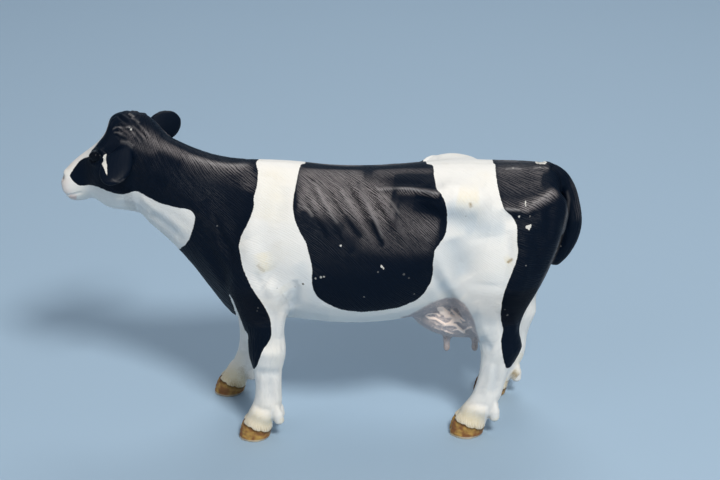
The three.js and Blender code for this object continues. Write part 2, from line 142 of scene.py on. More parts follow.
def cad_arrays(name):
    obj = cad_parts[name]
    matrix = np.array(obj.matrix_world)
    points = (read(obj.data.vertices, "co", 3).reshape(-1, 3) @ matrix[:3, :3].T + matrix[:3, 3]) * 1000
    obj.data.calc_loop_triangles()
    tris = read(obj.data.loop_triangles, "vertices", 3, np.int32).reshape(-1, 3)
    _, first, back = np.unique(np.round(points, 3), axis=0, return_index=True, return_inverse=True)
    tris = back.reshape(-1)[tris]
    return points[first], tris[(tris != np.roll(tris, 1, axis=1)).all(axis=1)]


def vertex_normals(points, faces):
    a, b, c = (points[faces[:, i]] for i in range(3))
    flat = np.cross(b - a, c - a) if faces.shape[1] == 3 else np.cross(c - a, points[faces[:, 3]] - b)
    out = np.zeros_like(points)
    for corner in range(faces.shape[1]):
        for axis in range(3):
            out[:, axis] += np.bincount(faces[:, corner], weights=flat[:, axis], minlength=len(points))
    return out / np.maximum(np.linalg.norm(out, axis=1, keepdims=True), 1e-12)


class Net:
    """Neighbours of each vertex, for smoothing."""

    def __init__(self, count, faces):
        pairs = np.concatenate([faces[:, [i, (i + 1) % 4]] for i in range(4)])
        pairs.sort(axis=1)
        pairs = np.unique(pairs, axis=0)
        self.count = count
        self.a = np.concatenate([pairs[:, 0], pairs[:, 1]])
        self.b = np.concatenate([pairs[:, 1], pairs[:, 0]])
        self.degree = np.maximum(np.bincount(self.a, minlength=count), 1)

    def mean(self, values):
        if values.ndim == 1:
            return np.bincount(self.a, weights=values[self.b], minlength=self.count) / self.degree
        return np.stack([self.mean(values[:, k]) for k in range(values.shape[1])], 1)

    def blur(self, values, rounds):
        for _ in range(rounds):
            values = values + STEP_IN * (self.mean(values) - values)
        return values

    def relax(self, points, rounds, weight, keep=True):
        """Smooths points; with keep, each round is followed by a step back so that nothing shrinks."""
        amount = weight[:, None]
        for _ in range(rounds):
            points = points + STEP_IN * amount * (self.mean(points) - points)
            if keep:
                points = points - STEP_OUT * amount * (self.mean(points) - points)
        return points


def joined(count, faces):
    """For each vertex the lowest number among those that faces join it to."""
    mark = np.arange(count)
    while True:
        low = mark[faces].min(axis=1)
        fresh = mark.copy()
        for corner in range(4):
            np.minimum.at(fresh, faces[:, corner], low)
        fresh = fresh[fresh]
        if np.array_equal(fresh, mark):
            return mark
        mark = fresh


def biggest(group):
    names, sizes = np.unique(group, return_counts=True)
    return names[np.argmax(sizes)]


def remeshed(points, faces, voxel):
    """One skin of quads around everything, without loose bits."""
    mesh = bpy.data.meshes.new("work")
    mesh.from_pydata(points.tolist(), [], faces.tolist())
    obj = placed("work", mesh)
    modifier = obj.modifiers.new("voxels", "REMESH")
    modifier.mode = "VOXEL"
    modifier.voxel_size = voxel
    modifier.adaptivity = 0
    done = obj.evaluated_get(bpy.context.evaluated_depsgraph_get()).to_mesh()
    points = read(done.vertices, "co", 3).reshape(-1, 3)
    faces = read(done.loops, "vertex_index", 1, np.int32).reshape(-1, 4)
    assert len(faces) == len(done.polygons), "the skin has faces that aren't quads"
    bpy.data.objects.remove(obj, do_unlink=True)
    bpy.data.meshes.remove(mesh)
    mark = joined(len(points), faces)
    keep = mark == biggest(mark)
    number = np.cumsum(keep) - 1
    return points[keep], number[faces[keep[faces].all(axis=1)]]


# The skin

# hip bone, top of the udder's side and poll: place in millimetres along, out and up, sizes, times smoothed
SMOOTHED = [
    ((33.6, 13.0, 65.0), (7, 6, 6), 2),
    ((32.8, 8.0, 34.4), (3, 3, 3), 1),
    ((-45.4, 2.0, 81.6), (4.5, 5, 3), 1),
]
# front and top of the poll: place, sizes, push
PUSHED = [
    ((-50.4, 2.0, 80.4), (2.6, 4.5, 1.9), (-1.3, 0, 0.1)),
    ((-45.0, 2.9, 81.6), (1.0, 2.6, 1.0), (0, 0, -0.5)),
]


def swollen(points, faces, amount):
    """Moved out where pieces meet and their gap is bridged, not on free ends such as hooves and ears."""
    x, z = points[:, 0], points[:, 2]
    share = smoothstep(22, 27, z) * (1 - smoothstep(2.5, 5, on_head(points)[0]))
    share = share * (1 - smoothstep(57, 59, x) * (1 - smoothstep(66, 68.5, z)))
    return points + vertex_normals(points, faces) * (amount * share)[:, None]


def base_skin():
    """The pieces in one smooth skin, with small bumps taken out where they were joined."""
    all_points, all_faces, offset = [], [], 0
    for name in NODES:
        points, faces = cad_arrays(name)
        all_points.append(swollen(points, faces, SEAM))
        all_faces.append(faces + offset)
        offset += len(points)
    points, faces = remeshed(np.concatenate(all_points), np.concatenate(all_faces), FIRST_VOXEL)
    net = Net(len(points), faces)
    x, y, z = points.T
    ahead, _ = on_head(points)
    body = smoothstep(30, 38, z) * (1 - smoothstep(-4, 1, ahead))
    bag = smoothstep(25, 29, z) * smoothstep(16, 22, x) * smoothstep(50, 46, x) * smoothstep(11, 8, np.abs(y))
    body = np.maximum(body, bag)
    body *= 1 - smoothstep(56, 59, x) * (1 - smoothstep(66, 69, z))
    fine = np.where(z < 9, 0.35, 0.8)
    fine = np.where((z < 24) & (x > 15) & (x < 45) & (np.abs(y) < 8), 0.3, fine)
    fine = np.where(ahead > 3, 0.55, fine)
    points = net.relax(points, 30, fine)
    rounds = round(SMOOTH_REACH**2 / (0.25 * FIRST_VOXEL**2))
    smooth = net.relax(points, rounds, body, keep=False)
    lost = net.relax(points - smooth, rounds, body, keep=False)
    points = smooth + lost * body[:, None]
    sides = np.stack([points[:, 0], np.abs(points[:, 1]), points[:, 2]], 1)
    for place, sizes, times in SMOOTHED:
        points = net.relax(points, times * rounds, spot(sides, place, sizes), keep=False)
    for place, sizes, push in PUSHED:
        points = points + spot(sides, place, sizes)[:, None] * np.array(push)
    points = swollen(points, faces, -SEAM)
    points, faces = remeshed(points, faces, SKIN_VOXEL)
    net = Net(len(points), faces)
    return net.relax(points, 8, np.full(len(points), 0.8)), faces, net


def nearest_node(points, faces):
    """The CAD piece that each face lies on."""
    middles = points[faces].mean(axis=1)
    best = np.full(len(faces), 1e9)
    label = np.zeros(len(faces), dtype=np.int32)
    for k, name in enumerate(NODES):
        cad_points, cad_faces = cad_arrays(name)
        tree = BVHTree.FromPolygons(cad_points.tolist(), cad_faces.tolist())
        low, high = cad_points.min(0) - BOX_MARGIN, cad_points.max(0) + BOX_MARGIN
        for i in np.nonzero(in_box(middles, low, high))[0]:
            far = tree.find_nearest(Vector(middles[i]), SEARCH)[3]
            if far is not None and far < best[i]:
                best[i] = far
                label[i] = k
    return label


def votes_of(count, faces, label):
    """How many faces of each piece meet at each vertex."""
    places = faces * len(NODES) + label[:, None]
    return np.bincount(places.ravel(), minlength=count * len(NODES)).reshape(count, -1)


def tidy_labels(count, faces, label):
    """Smooths the borders between pieces and gives lone faces to their neighbours."""
    for _ in range(6):
        votes = votes_of(count, faces, label)
        label = votes[faces].sum(axis=1).argmax(axis=1)
    for k in range(len(NODES)):
        mine = np.nonzero(label == k)[0]
        group = joined(count, faces[mine])[faces[mine, 0]]
        strays = mine[group != biggest(group)]
        others = votes[faces[strays]].sum(axis=1)
        others[:, k] = -1
        label[strays] = others.argmax(axis=1)
    return label


# How a place is seen: the far side is sculpted like the near side

# how far the right legs stand from the left ones, by height
FORE_SHIFT = ([0, 6, 10, 14, 19, 24, 31, 36, 40, 46], [8.4, 7.4, 6.6, 5.8, 4.9, 3.8, 2.4, 1.7, 0.8, 0])
HIND_SHIFT = (
    [0, 14, 17, 20, 24, 29, 33, 37, 42, 47, 53, 59],
    [-7.5, -7.4, -6.6, -5.9, -5.6, -6.5, -6.7, -6.1, -4.6, -2.6, -1.1, 0],
)


def near_side(points, normals, label):
    """Points and normals as if on the near side, for strokes given in the photograph's pixels."""
    seen, facing = points.copy(), normals.copy()
    seen[:, 1] = -np.abs(points[:, 1])
    facing[points[:, 1] > 0, 1] *= -1
    for leg, shift in ((FORE_RIGHT, FORE_SHIFT), (HIND_RIGHT, HIND_SHIFT)):
        mine = label == leg
        seen[mine, 0] += np.interp(points[mine, 2], *shift)
    face = np.isin(label, (HEAD, *EARS))
    side = on_head(points[face])[1]
    seen[face] = points[face] + np.outer(np.where(side < 0, -2 * side, 0), LEFT)
    turn = normals[face] @ LEFT
    facing[face] = normals[face] + np.outer(np.where(side < 0, -2 * turn, 0), LEFT)
    return seen, facing


def openness(seen, facing):
    """How squarely the photograph's camera sees a place: 1 face on, 0 edge on."""
    to_eye = CAMERA_AT - seen
    to_eye /= np.linalg.norm(to_eye, axis=1, keepdims=True)
    return (facing * to_eye).sum(axis=1)


def to_line(places, line):
    """Distance of each place to a line (x, y, x, y...), and how far along it, from 0 to 1."""
    line = np.reshape(line, (-1, 2)).astype(float)
    lengths = np.linalg.norm(line[1:] - line[:-1], axis=1)
    run = np.concatenate([[0], np.cumsum(lengths)])
    best = np.full(len(places), 1e9)
    along = np.zeros(len(places))
    for start, end, length, before in zip(line[:-1], line[1:], lengths, run):
        way = (end - start) / max(length, 1e-9)
        t = np.clip((places - start) @ way, 0, length)
        far = np.linalg.norm(places - start - t[:, None] * way, axis=1)
        closer = far < best
        best[closer] = far[closer]
        along[closer] = (before + t[closer]) / run[-1]
    return best, along


def stroke(pixels, line, width, ends=0.25):
    """A soft stroke along a line: 1 on the line, falling off over width pixels, thinner at its ends."""
    line = np.reshape(line, (-1, 2)).astype(float)
    near = in_box(pixels, line.min(0) - 3 * width, line.max(0) + 3 * width)
    out = np.zeros(len(pixels))
    far, along = to_line(pixels[near], line)
    taper = np.clip(np.minimum(along, 1 - along) / ends, 0, 1)
    out[near] = np.exp(-0.5 * (far / width) ** 2) * np.sqrt(taper)
    return out


def smooth_outline(outline, steps=5):
    """A closed outline of given points (x, y, x, y...), with smooth points between them."""
    points = np.reshape(outline, (-1, 2)).astype(float)
    out = []
    for i in range(len(points)):
        a, b, c, d = (points[(i + k) % len(points)] for k in (-1, 0, 1, 2))
        for step in range(steps):
            t = step / steps
            straight, bent = (c - a) * t, (2 * a - 5 * b + 4 * c - d) * t**2
            out.append(0.5 * (2 * b + straight + bent + (3 * b - a - 3 * c + d) * t**3))
    return np.array(out)


def inside(places, outline):
    """Which places are within a closed outline."""
    hit = np.zeros(len(places), dtype=bool)
    x, y = places.T
    for a, b in zip(outline, np.roll(outline, -1, axis=0)):
        crosses = (a[1] > y) != (b[1] > y)
        if crosses.any():
            hit[crosses] ^= x[crosses] < a[0] + (y[crosses] - a[1]) * (b[0] - a[0]) / (b[1] - a[1])
    return hit


def signed(places, outline, limit):
    """Distance to a closed outline: below 0 inside, cut off at limit."""
    outline = smooth_outline(outline)
    out = np.full(len(places), float(limit))
    near = np.nonzero(in_box(places, outline.min(0) - limit, outline.max(0) + limit))[0]
    far, _ = to_line(places[near], np.concatenate([outline, outline[:1]]))
    far = np.minimum(far, limit)
    out[near] = np.where(inside(places[near], outline), -far, far)
    return out


# Relief: pieces, width in pixels, height in millimetres, line in the photograph's pixels

STROKES = [
    # loin ridge, the dip above it and the hollow under it
    (BODY, 1.5, 0.8, 376, 190, 386, 188.5, 399, 188, 412, 188.5, 428, 190.8, 441, 193.5),
    (BODY, 2.8, -0.5, 396, 194, 408, 194, 424, 197, 440, 200),
    (BODY, 6.5, -0.55, 396, 204, 412, 208, 430, 212, 444, 214),
    (BODY, 2.8, -0.5, 378, 182, 392, 183, 410, 183, 430, 185),
    # hip bone, and the ridge from it to the pin bone
    (BODY, 6, 0.15, 450, 194, 460, 198, 470, 203),
    (BODY, 4.5, 0.5, 492, 209, 510, 209.5, 530, 206, 550, 196),
    (BODY, 1.8, 0.38, 500, 207, 512, 210, 524, 212, 534, 211),
    (BODY, 4.0, 0.5, 532, 206, 544, 199, 556, 191),
    (BODY, 6, -0.35, 500, 190, 520, 190, 538, 184),
    (BODY, 3.5, -0.35, 505, 218, 520, 220, 540, 214),
    (BODY, 3.5, 0.3, 556, 200, 560, 214, 557, 232, 551, 250),
    (BODY, 3.5, -0.3, 548, 206, 550, 222, 546, 240),
    # ribs
    (BODY, 2.4, 0.3, 304, 186, 312, 200, 320, 216, 332, 236, 340, 250),
    (BODY, 2.4, 0.5, 314, 181, 320, 193, 330, 211, 342, 232, 352, 252),
    (BODY, 2.4, 0.45, 336, 182, 345, 196, 356, 214, 368, 236, 377, 256),
    (BODY, 2.4, 0.6, 358, 184, 368, 204, 378, 226, 388, 248),
    (BODY, 2.6, 0.45, 378, 192, 388, 208, 400, 228, 412, 248),
    (BODY, 2.2, -0.3, 304, 196, 314, 216, 326, 238),
    (BODY, 2.4, -0.45, 326, 184, 337, 204, 350, 226, 362, 248),
    (BODY, 2.2, -0.5, 348, 182, 358, 201, 369, 222, 381, 246),
    (BODY, 2.4, -0.45, 370, 190, 379, 206, 391, 228, 402, 248),
    # flank fold in front of the thigh, and the thigh
    (BODY, 4.0, 0.5, 436, 250, 442, 268, 450, 284, 462, 300, 474, 316),
    (BODY, 4.0, -0.5, 428, 262, 434, 278, 444, 294, 456, 306),
    (BODY, 8, -0.5, 448, 212, 460, 222, 474, 230, 490, 234),
    (BODY, 7, -0.5, 452, 240, 458, 258, 468, 278),
    (BODY, 10, 0.55, 486, 238, 490, 262, 488, 284),
    (BODY, 4.5, 0.4, 518, 226, 527, 250, 524, 276, 516, 300),
    (BODY, 3.5, -0.4, 508, 230, 511, 256, 507, 280, 501, 304),
    (BODY, 4, -0.3, 536, 230, 538, 254, 532, 276),
    (BODY, 4, 0.3, 476, 300, 482, 318, 486, 336),
    (BODY, 2.5, -0.25, 466, 312, 474, 330, 480, 346),
    (BODY, 2.6, -0.4, 498, 310, 502, 328, 506, 344),
    (BODY, 2.6, 0.4, 512, 314, 516, 332, 518, 346),
    # hock, shank and pastern of the hind leg
    (HIND, 5, 0.15, 486, 344, 494, 350, 504, 354, 514, 352),
    (HIND, 3.2, -0.4, 479, 339, 486, 345, 493, 349),
    (HIND, 4, -0.1, 482, 360, 492, 364, 504, 366),
    (HIND, 2.2, 0.28, 492, 364, 489, 380, 484, 398),
    (HIND, 2.2, -0.2, 498, 364, 496, 380, 492, 396),
    (HIND, 2.0, 0.25, 503, 364, 502, 380, 498, 398),
    (HIND, 3.2, 0.4, 462, 412, 472, 409, 484, 412, 490, 416),
    (HIND, 2, -0.25, 466, 404, 478, 404, 490, 406),
    # tail root, and the crease above the hip bone
    ((TRUNK, TAIL), 2.2, 0.3, 543, 164, 548, 165, 552, 167),
    (BODY, 4.0, 0.3, 442, 184, 456, 180, 472, 181, 484, 186),
    # shoulder, elbow and fore leg
    (BODY, 6, 0.35, 262, 176, 258, 196, 252, 218, 246, 238),
    (BODY, 5, -0.3, 286, 186, 282, 206, 277, 226),
    (BODY, 7, 0.45, 246, 240, 254, 256, 268, 270),
    (BODY, 3.0, -0.55, 294, 280, 296, 290, 295, 300, 289, 308),
    (BODY, 7.0, 0.7, 266, 284, 277, 291, 287, 297),
    (BODY, 4, 0.3, 262, 282, 270, 296, 275, 312),
    (BODY, 3, -0.3, 254, 272, 262, 286, 269, 302),
    (FORE, 2.2, 0.3, 282, 312, 281, 326, 280, 338),
    (FORE, 2.2, -0.16, 276, 312, 276, 328, 276, 340),
    (FORE, 4.5, 0.55, 256, 351, 266, 354, 276, 354, 282, 352),
    (FORE, 2.8, -0.34, 254, 371, 264, 373, 274, 373, 280, 372),
    (FORE, 2.0, 0.3, 276, 376, 276, 390, 278, 404),
    (FORE, 2.0, -0.18, 271, 378, 271, 390, 272, 404),
    (FORE, 2.4, 0.25, 262, 376, 262, 390, 260, 402),
    (FORE, 1.8, -0.3, 253, 404, 262, 409, 272, 411),
    (FORE, 3.2, 0.4, 250, 410, 260, 416, 270, 421),
    # neck: muscle, folds and dewlap
    (NECK, 4, 0.35, 150, 140, 178, 156, 212, 165, 245, 165),
    (NECK, 5, -0.35, 152, 154, 182, 172, 214, 180, 240, 184),
    (NECK, 7, 0.4, 168, 186, 196, 202, 220, 228, 236, 254),
    (NECK, 4, -0.25, 150, 176, 176, 196, 200, 216),
    (NECK, 3.5, -0.4, 206, 200, 216, 224, 228, 248, 236, 268),
    (NECK, 2.6, -0.22, 150, 213, 160, 220, 172, 230, 184, 242),
    (NECK, 3.0, 0.14, 152, 206, 166, 214, 180, 226, 190, 236),
    (NECK, 2.4, -0.1, 160, 208, 174, 216, 188, 226),
    (NECK, 2.2, 0.2, 140, 197, 150, 205, 160, 214),
    (BODY, 3.0, 0.25, 198, 246, 210, 264, 222, 284, 234, 304),
    (BODY, 3.0, -0.25, 206, 246, 218, 264, 230, 284),
    (BODY, 3, 0.25, 214, 240, 226, 258, 236, 278),
]

# curls on the poll and behind it: width, height, line
CURLS = [
    (0.7, 0.3, 112.6, 129.4, 115.4, 127.4, 119, 127, 122.4, 128.6),
    (0.8, 0.3, 113.8, 132.2, 117.6, 132.6, 122, 134.4, 127.4, 138),
    (0.6, 0.24, 121, 132.4, 124.6, 131.4, 128.4, 133.4, 131, 137),
    (0.6, 0.16, 119, 123.4, 122.6, 122.6, 126, 124),
    (0.7, 0.34, 126, 127.4, 129.4, 126.4, 132.6, 128.6),
    (0.7, -0.28, 113, 130.8, 117.6, 130.2, 122, 131.4, 126, 134.6),
    (0.8, -0.3, 115.4, 135.4, 119.6, 137.2, 125.6, 140.4),
    (0.6, -0.26, 124, 129.6, 128.4, 129.6, 132, 132.4),
    (0.6, -0.3, 116, 125.4, 121, 124.8, 125, 126.2),
    (0.8, 0.3, 109, 128, 112, 121, 118, 116.6),
    (0.8, 0.5, 128.4, 113.4, 131, 114.6, 134.4, 117.2),
    (0.8, 0.4, 131, 117.4, 135, 119.6, 139.6, 123),
    (0.7, -0.25, 127, 114.6, 131, 116.8, 136, 121),
    (0.8, 0.3, 120, 114, 125, 117.4, 131, 121.4),
    (0.7, -0.3, 118, 116.4, 123, 120, 129, 123),
    (1.1, 0.35, 120, 141, 128, 143, 134, 147),
    (0.8, 0.22, 132, 125, 138, 131, 145, 139),
    (0.8, 0.22, 136, 122, 143, 128.4, 151, 138),
    (0.8, 0.22, 130, 129.6, 136, 136, 141, 143),
    (0.7, -0.22, 134, 123.6, 141, 130.4, 148, 139),
    (0.7, -0.22, 131, 127.4, 137, 133.4, 143, 141.4),
    (0.9, 0.25, 104, 148, 98, 152, 94, 158),
    (0.8, 0.22, 102, 143, 97, 147, 93, 151),
    (0.8, -0.22, 106, 138, 104, 143, 100, 147),
]

# raised veins of the udder: width, strength, line
VEINS = [
    (0.95, 1.0, 424, 315, 429, 318, 436, 319, 441, 322, 445, 324.5, 450, 323.5, 454, 320, 458, 320, 463, 324),
    (0.8, 0.6, 426, 314.5, 432, 313.5, 437, 314, 441, 317),
    (1.1, 1.0, 436.5, 308.5, 442, 308, 446, 312, 450, 314),
    (0.9, 0.8, 438, 309.5, 442, 313, 447, 315),
    (0.9, 0.8, 450.5, 309, 454, 312, 458, 316, 462, 319, 466, 322),
    (0.8, 0.8, 444, 317, 450, 316, 455, 317, 458, 320),
    (0.8, 0.45, 449, 326, 453.5, 325, 458, 328, 462, 329.5),
    (0.7, 0.6, 451, 330.5, 458, 329.5, 462, 332, 466, 333.5),
    (0.8, 0.5, 433, 327, 438, 329, 443, 330, 447, 332.6),
    (3.6, 0.42, 440, 310, 446, 313, 452, 318, 459, 321),
    (0.8, 0.6, 445, 330.5, 450, 333, 454, 334),
    (0.8, 0.7, 446, 326.6, 450, 324.6, 456, 324.8, 460, 328.6, 465, 333),
    (0.8, 0.45, 436, 323, 441, 325.5, 446, 326.6),
    (0.7, 0.4, 428, 320.5, 434, 322.5, 438, 326),
    (0.9, 0.55, 462, 332, 467, 328.6, 473, 327),
    (1.0, 0.35, 466.5, 327.5, 472, 326),
]
VEIN_HEIGHT = 0.32


def relief(points, faces, net, label):
    """Raises and sinks the skin along the strokes, where the camera sees it squarely."""
    normals = vertex_normals(points, faces)
    seen, facing = near_side(points, normals, label)
    pixels = photo(seen)
    squarely = openness(seen, facing)
    share = np.where(label == HEAD, smoothstep(0.2, 0.55, squarely), smoothstep(0.02, 0.3, squarely))
    push = np.zeros(len(points))
    for names, width, height, *line in STROKES:
        mine = np.isin(label, names)
        push[mine] += height * stroke(pixels[mine], line, width)
    push = net.blur(push, 2)
    for names, unit, lines in (((HEAD, TRUNK), 1, CURLS), ((UDDER, TRUNK), VEIN_HEIGHT, VEINS)):
        mine = np.isin(label, names)
        for width, strength, *line in lines:
            push[mine] += unit * strength * stroke(pixels[mine], line, width)
    return points + normals * (push * share)[:, None]


# The face: the eye's place ahead and up and its length over its height, the nostril, the mouth

EYE_AHEAD, EYE_UP, EYE_LENGTH = 14.3, 71.6, 1.15
NOSTRIL = (24.7, 3.1, 64.4)
MOUTH = (26.5, 60.4, 24.5, 60.0, 22, 60.2, 19.6, 60.9)
# height, place and sizes of soft bumps: cheek, jaw, temple, brow, nostril and its wing
FACE_BUMPS = [
    (0.45, (9.5, 7, 64), (3.2, 4, 3.6)),
    (-0.4, (18.2, 5, 65.5), (2.4, 3, 2.2)),
    (-0.3, (9.5, 7, 72.5), (1.8, 3, 1.6)),
    (0.35, (13.6, 6.5, 74.2), (2.2, 2, 0.9)),
    (-0.9, NOSTRIL, (0.75, 0.9, 0.5)),
    (0.3, (24.4, 3.2, 65.5), (1.0, 1.2, 0.5)),
]


def face_place(points):
    """Place on the face, alike on both sides, with the distance from the eye and the share of its side."""
    u, v = on_head(points)
    place = np.stack([u, np.abs(v), points[:, 2]], 1)
    ring = np.hypot((u - EYE_AHEAD) / EYE_LENGTH, points[:, 2] - EYE_UP)
    return place, ring, smoothstep(4.5, 5.5, np.abs(v))


def eye_and_nostril(points, label):
    """Masks of the eyeballs and of the hollows of the nostrils."""
    place, ring, side = face_place(points)
    head = label == HEAD
    return head * side * smoothstep(1.5, 1.25, ring), head * spot(place, NOSTRIL, (0.8, 0.9, 0.55))


def face_relief(points, faces, label):
    """Eyes, nostrils, mouth and cheeks, alike on both sides of the head."""
    mine = np.nonzero(label == HEAD)[0]
    place, ring, side = face_place(points[mine])
    push = sum(height * spot(place, middle, sizes) for height, middle, sizes in FACE_BUMPS)
    push += side * 0.28 * np.exp(-0.5 * ((ring - 2.1) / 0.3) ** 2)
    push -= side * 0.25 * np.exp(-0.5 * ((ring - 1.55) / 0.22) ** 2)
    push -= 0.17 * np.exp(-0.5 * (to_line(place[:, [0, 2]], MOUTH)[0] / 0.24) ** 2)
    out = points.copy()
    out[mine] += vertex_normals(points, faces)[mine] * push[:, None]
    return out


# The hooves: middle of each foot, and the height of the hair's edge by the place along the foot

FEET = {
    FORE_LEFT: (-17.35, -11.8), FORE_RIGHT: (-25.63, 12.69),
    HIND_LEFT: (36.15, -10.2), HIND_RIGHT: (43.65, 11.7),
}
CORONET = ([-4.6, -2.5, 0.5, 3.0, 5.0], [5.5, 4.5, 3.5, 2.6, 2.2])
FAR_FROM_HOOF = 9.0


def foot_place(points, leg):
    x, y = FEET[leg]
    return points[:, 0] - x, points[:, 1] - y, points[:, 2]


def hoof_distance(points, label):
    """Height above the line where hair ends and hoof begins, in millimetres, for the legs."""
    out = np.full(len(points), FAR_FROM_HOOF)
    for leg in FEET:
        mine = label == leg
        u, _, z = foot_place(points[mine], leg)
        lift = 0.14 * np.sin(u * 2.3) + 0.07 * np.sin(u * 5.1 + 1)
        out[mine] = np.where((u > 4.6) & (z > 1.2), FAR_FROM_HOOF, z - np.interp(u, *CORONET) + lift)
    return out


def hoof_relief(points, faces, label):
    """The fringe over the hoof, its growth rings and the cleft."""
    normals = vertex_normals(points, faces)
    out = points.copy()
    edge = hoof_distance(points, label)
    for leg in FEET:
        mine = np.nonzero((label == leg) & (points[:, 2] < 9))[0]
        u, v, z = foot_place(points[mine], leg)
        d = edge[mine]
        push = 0.2 * smoothstep(-0.25, 0.15, d) * (1 - smoothstep(0.4, 2.2, d))
        push += np.where(d < -0.2, np.sin((z + 0.25 * u) * 5.2) * 0.045, 0)
        front = smoothstep(0.5, -2.0, u)
        push -= 0.9 * front * np.exp(-0.5 * (v / 0.42) ** 2) * (1 - smoothstep(4.5, 7, z))
        out[mine] += normals[mine] * push[:, None]
    return out


# The coat's hair: place along the body, slope downward to the rear

SLOPE_AT = [-46, -38, -32, -24, -14, 0, 20, 34, 42, 50, 60]
SLOPES = [1.6, 1.45, 0.85, 0.6, 0.8, 1.0, 1.05, 0.95, 0.6, 0.3, 0.3]
# wave numbers of the moulded locks and of the fine hair on them, per millimetre
LOCK = 2 * math.pi / 1.5
STRAND = 2 * math.pi / 0.58
# height of the hair lines in the skin, in millimetres
GROOVE = 0.022
# where the body's lie of hair gives way to the head's, in millimetres ahead of the neck's end
CROWN = 6.5


def coat(points, label):
    """Coordinates across and along the hair, in millimetres, for strands in the skin and in the materials."""
    x, y, z = points.T
    along = np.linspace(-70, 70, 561)
    slope = np.interp(along, SLOPE_AT, SLOPES)
    fall = np.concatenate([[0], np.cumsum((slope[1:] + slope[:-1]) / 2 * np.diff(along))])
    middle = np.interp(x, [-44, -30, -18, 60], [66, 58, 49, 49])
    girth = -np.arctan2(np.abs(y), z - middle) * np.interp(x, [-44, -30, -18, 0, 60], [9, 11, 15, 18.5, 17])
    out = np.stack([girth + np.interp(x, along, fall), x, np.sign(y) * 7.0], 1)
    for leg in FEET:
        low = (label == leg) & (z < 42)
        u, v, _ = foot_place(points[low], leg)
        share = smoothstep(42, 31, z[low])[:, None]
        around = np.stack([np.arctan2(v, u) * 3.2, z[low], np.full(low.sum(), 3.0)], 1)
        out[low] = out[low] * (1 - share) + around * share
    tail = (label == TAIL) & (x > 56)
    out[tail] = np.stack([y[tail] * 1.2 + 0.25 * x[tail], z[tail], np.full(tail.sum(), 5.0)], 1)
    u, v = on_head(points)
    face = np.stack([z * 0.8 - u * 0.75 + np.abs(v) * 0.4, u + z, np.sign(v) * 2], 1)
    share = np.isin(label, (HEAD, TRUNK)) * smoothstep(CROWN - 1.5, CROWN + 1.5, u)
    share = np.where(np.isin(label, EARS), 1, share)[:, None]
    out = out * (1 - share) + face * share
    out[label == UDDER] = points[label == UDDER] * 0.6
    out[:, 0] += 0.15 * np.sin(0.37 * out[:, 1] + 0.21 * out[:, 0])
    return out


def strands(hair):
    """Moulded hair, from -1 in a groove to 1 on a strand."""
    across, run, _ = hair.T
    strength = 0.65 + 0.35 * np.sin(0.83 * run + 2.1 * across) * np.sin(0.41 * run - 1.3 * across)
    return np.sin(across * LOCK) * strength


# Coat patches

# outlines of the black of the near side, in the photograph's pixels
FRONT_PATCH = [
    257, 120, 257, 158, 256, 163, 258, 172, 257, 185, 254, 197, 254, 205, 252, 213, 247, 225, 241, 237,
    239, 247, 241, 258, 243, 268, 247, 278, 252, 288, 258, 297, 264, 306, 269, 316, 271, 325, 271, 336,
    268, 343, 263, 350, 260, 358, 256, 367, 254, 369, 251, 366, 249, 358, 248, 345, 247, 333, 235, 322,
    205, 300, 178, 256, 181, 248, 186, 244, 190, 237, 193, 228, 195, 219, 194, 214, 190, 210, 180, 208,
    170, 206, 160, 203, 150, 198, 141, 193, 136, 191, 132, 192, 125, 194, 118, 194, 110, 192, 100, 188,
    95, 186, 88, 185, 83, 186, 78, 185, 73, 181, 70, 176, 71, 173, 74, 168, 78, 163, 82, 159, 90, 156,
    91, 152, 93, 148, 97, 143, 104, 136, 106, 131, 100, 110, 120, 90, 180, 90, 230, 110,
]
FLANK_PATCH = [
    303, 150, 302, 161, 299, 170, 297, 180, 294, 195, 293, 207, 295, 220, 300, 232, 306, 243, 309, 255,
    312, 267, 312, 283, 315, 293, 320, 299, 330, 305, 340, 309, 350, 311, 362, 312, 375, 311, 390, 309,
    400, 307, 410, 303, 418, 299, 424, 293, 428, 287, 431, 281, 433, 272, 433, 265, 434, 255, 435, 250,
    440, 243, 445, 235, 447, 225, 447, 212, 445, 202, 441, 194, 437, 189, 434, 175, 433, 166, 427, 160,
    425, 150,
]
RUMP_PATCH = [
    495, 140, 495, 160, 496, 175, 498, 188, 501, 200, 505, 210, 513, 218, 517, 227, 517, 240, 518, 252,
    516, 262, 511, 275, 507, 285, 503, 297, 501, 310, 501, 320, 503, 330, 501, 340, 502, 350, 503, 358,
    506, 367, 510, 367, 516, 360, 521, 352, 523, 345, 522, 338, 524, 330, 534, 322, 545, 300, 560, 275,
    575, 240, 590, 200, 590, 150, 560, 130,
]
# outlines of the far side, in millimetres along and up
FAR_FRONT = [
    -15.5, 80, -15.5, 68, -16, 60, -13, 54, -10, 48, -10.5, 42, -14, 37, -19, 33, -24, 30, -32, 30, -37, 40,
    -36, 46, -34, 49.4, -32.4, 53.6, -32, 56, -33.4, 58.2, -38, 59.4, -43, 60.8, -46.5, 62.2, -50, 62.5,
    -55, 61.5, -60, 64, -58, 69, -54, 73, -52, 77, -52, 90, -20, 90,
]
FAR_BRISKET = [
    -36, 44, -20, 44, -15, 36, -14.6, 30, -17, 22, -36, 22,
]
FAR_FLANK = [
    -4, 80, -4, 68, -6, 60, -7, 52, -4, 45, 0, 39, 5, 35, 12, 33.5, 19, 35, 25, 39, 29, 45, 31, 52, 28, 58,
    25.5, 62, 25.2, 66, 25.2, 80,
]
FAR_RUMP = [
    42, 80, 42, 68, 43, 62, 47, 57, 52, 52, 55, 45, 56.5, 38, 56, 31, 56.6, 26, 58.5, 24, 62, 28, 72, 50,
    72, 75,
]
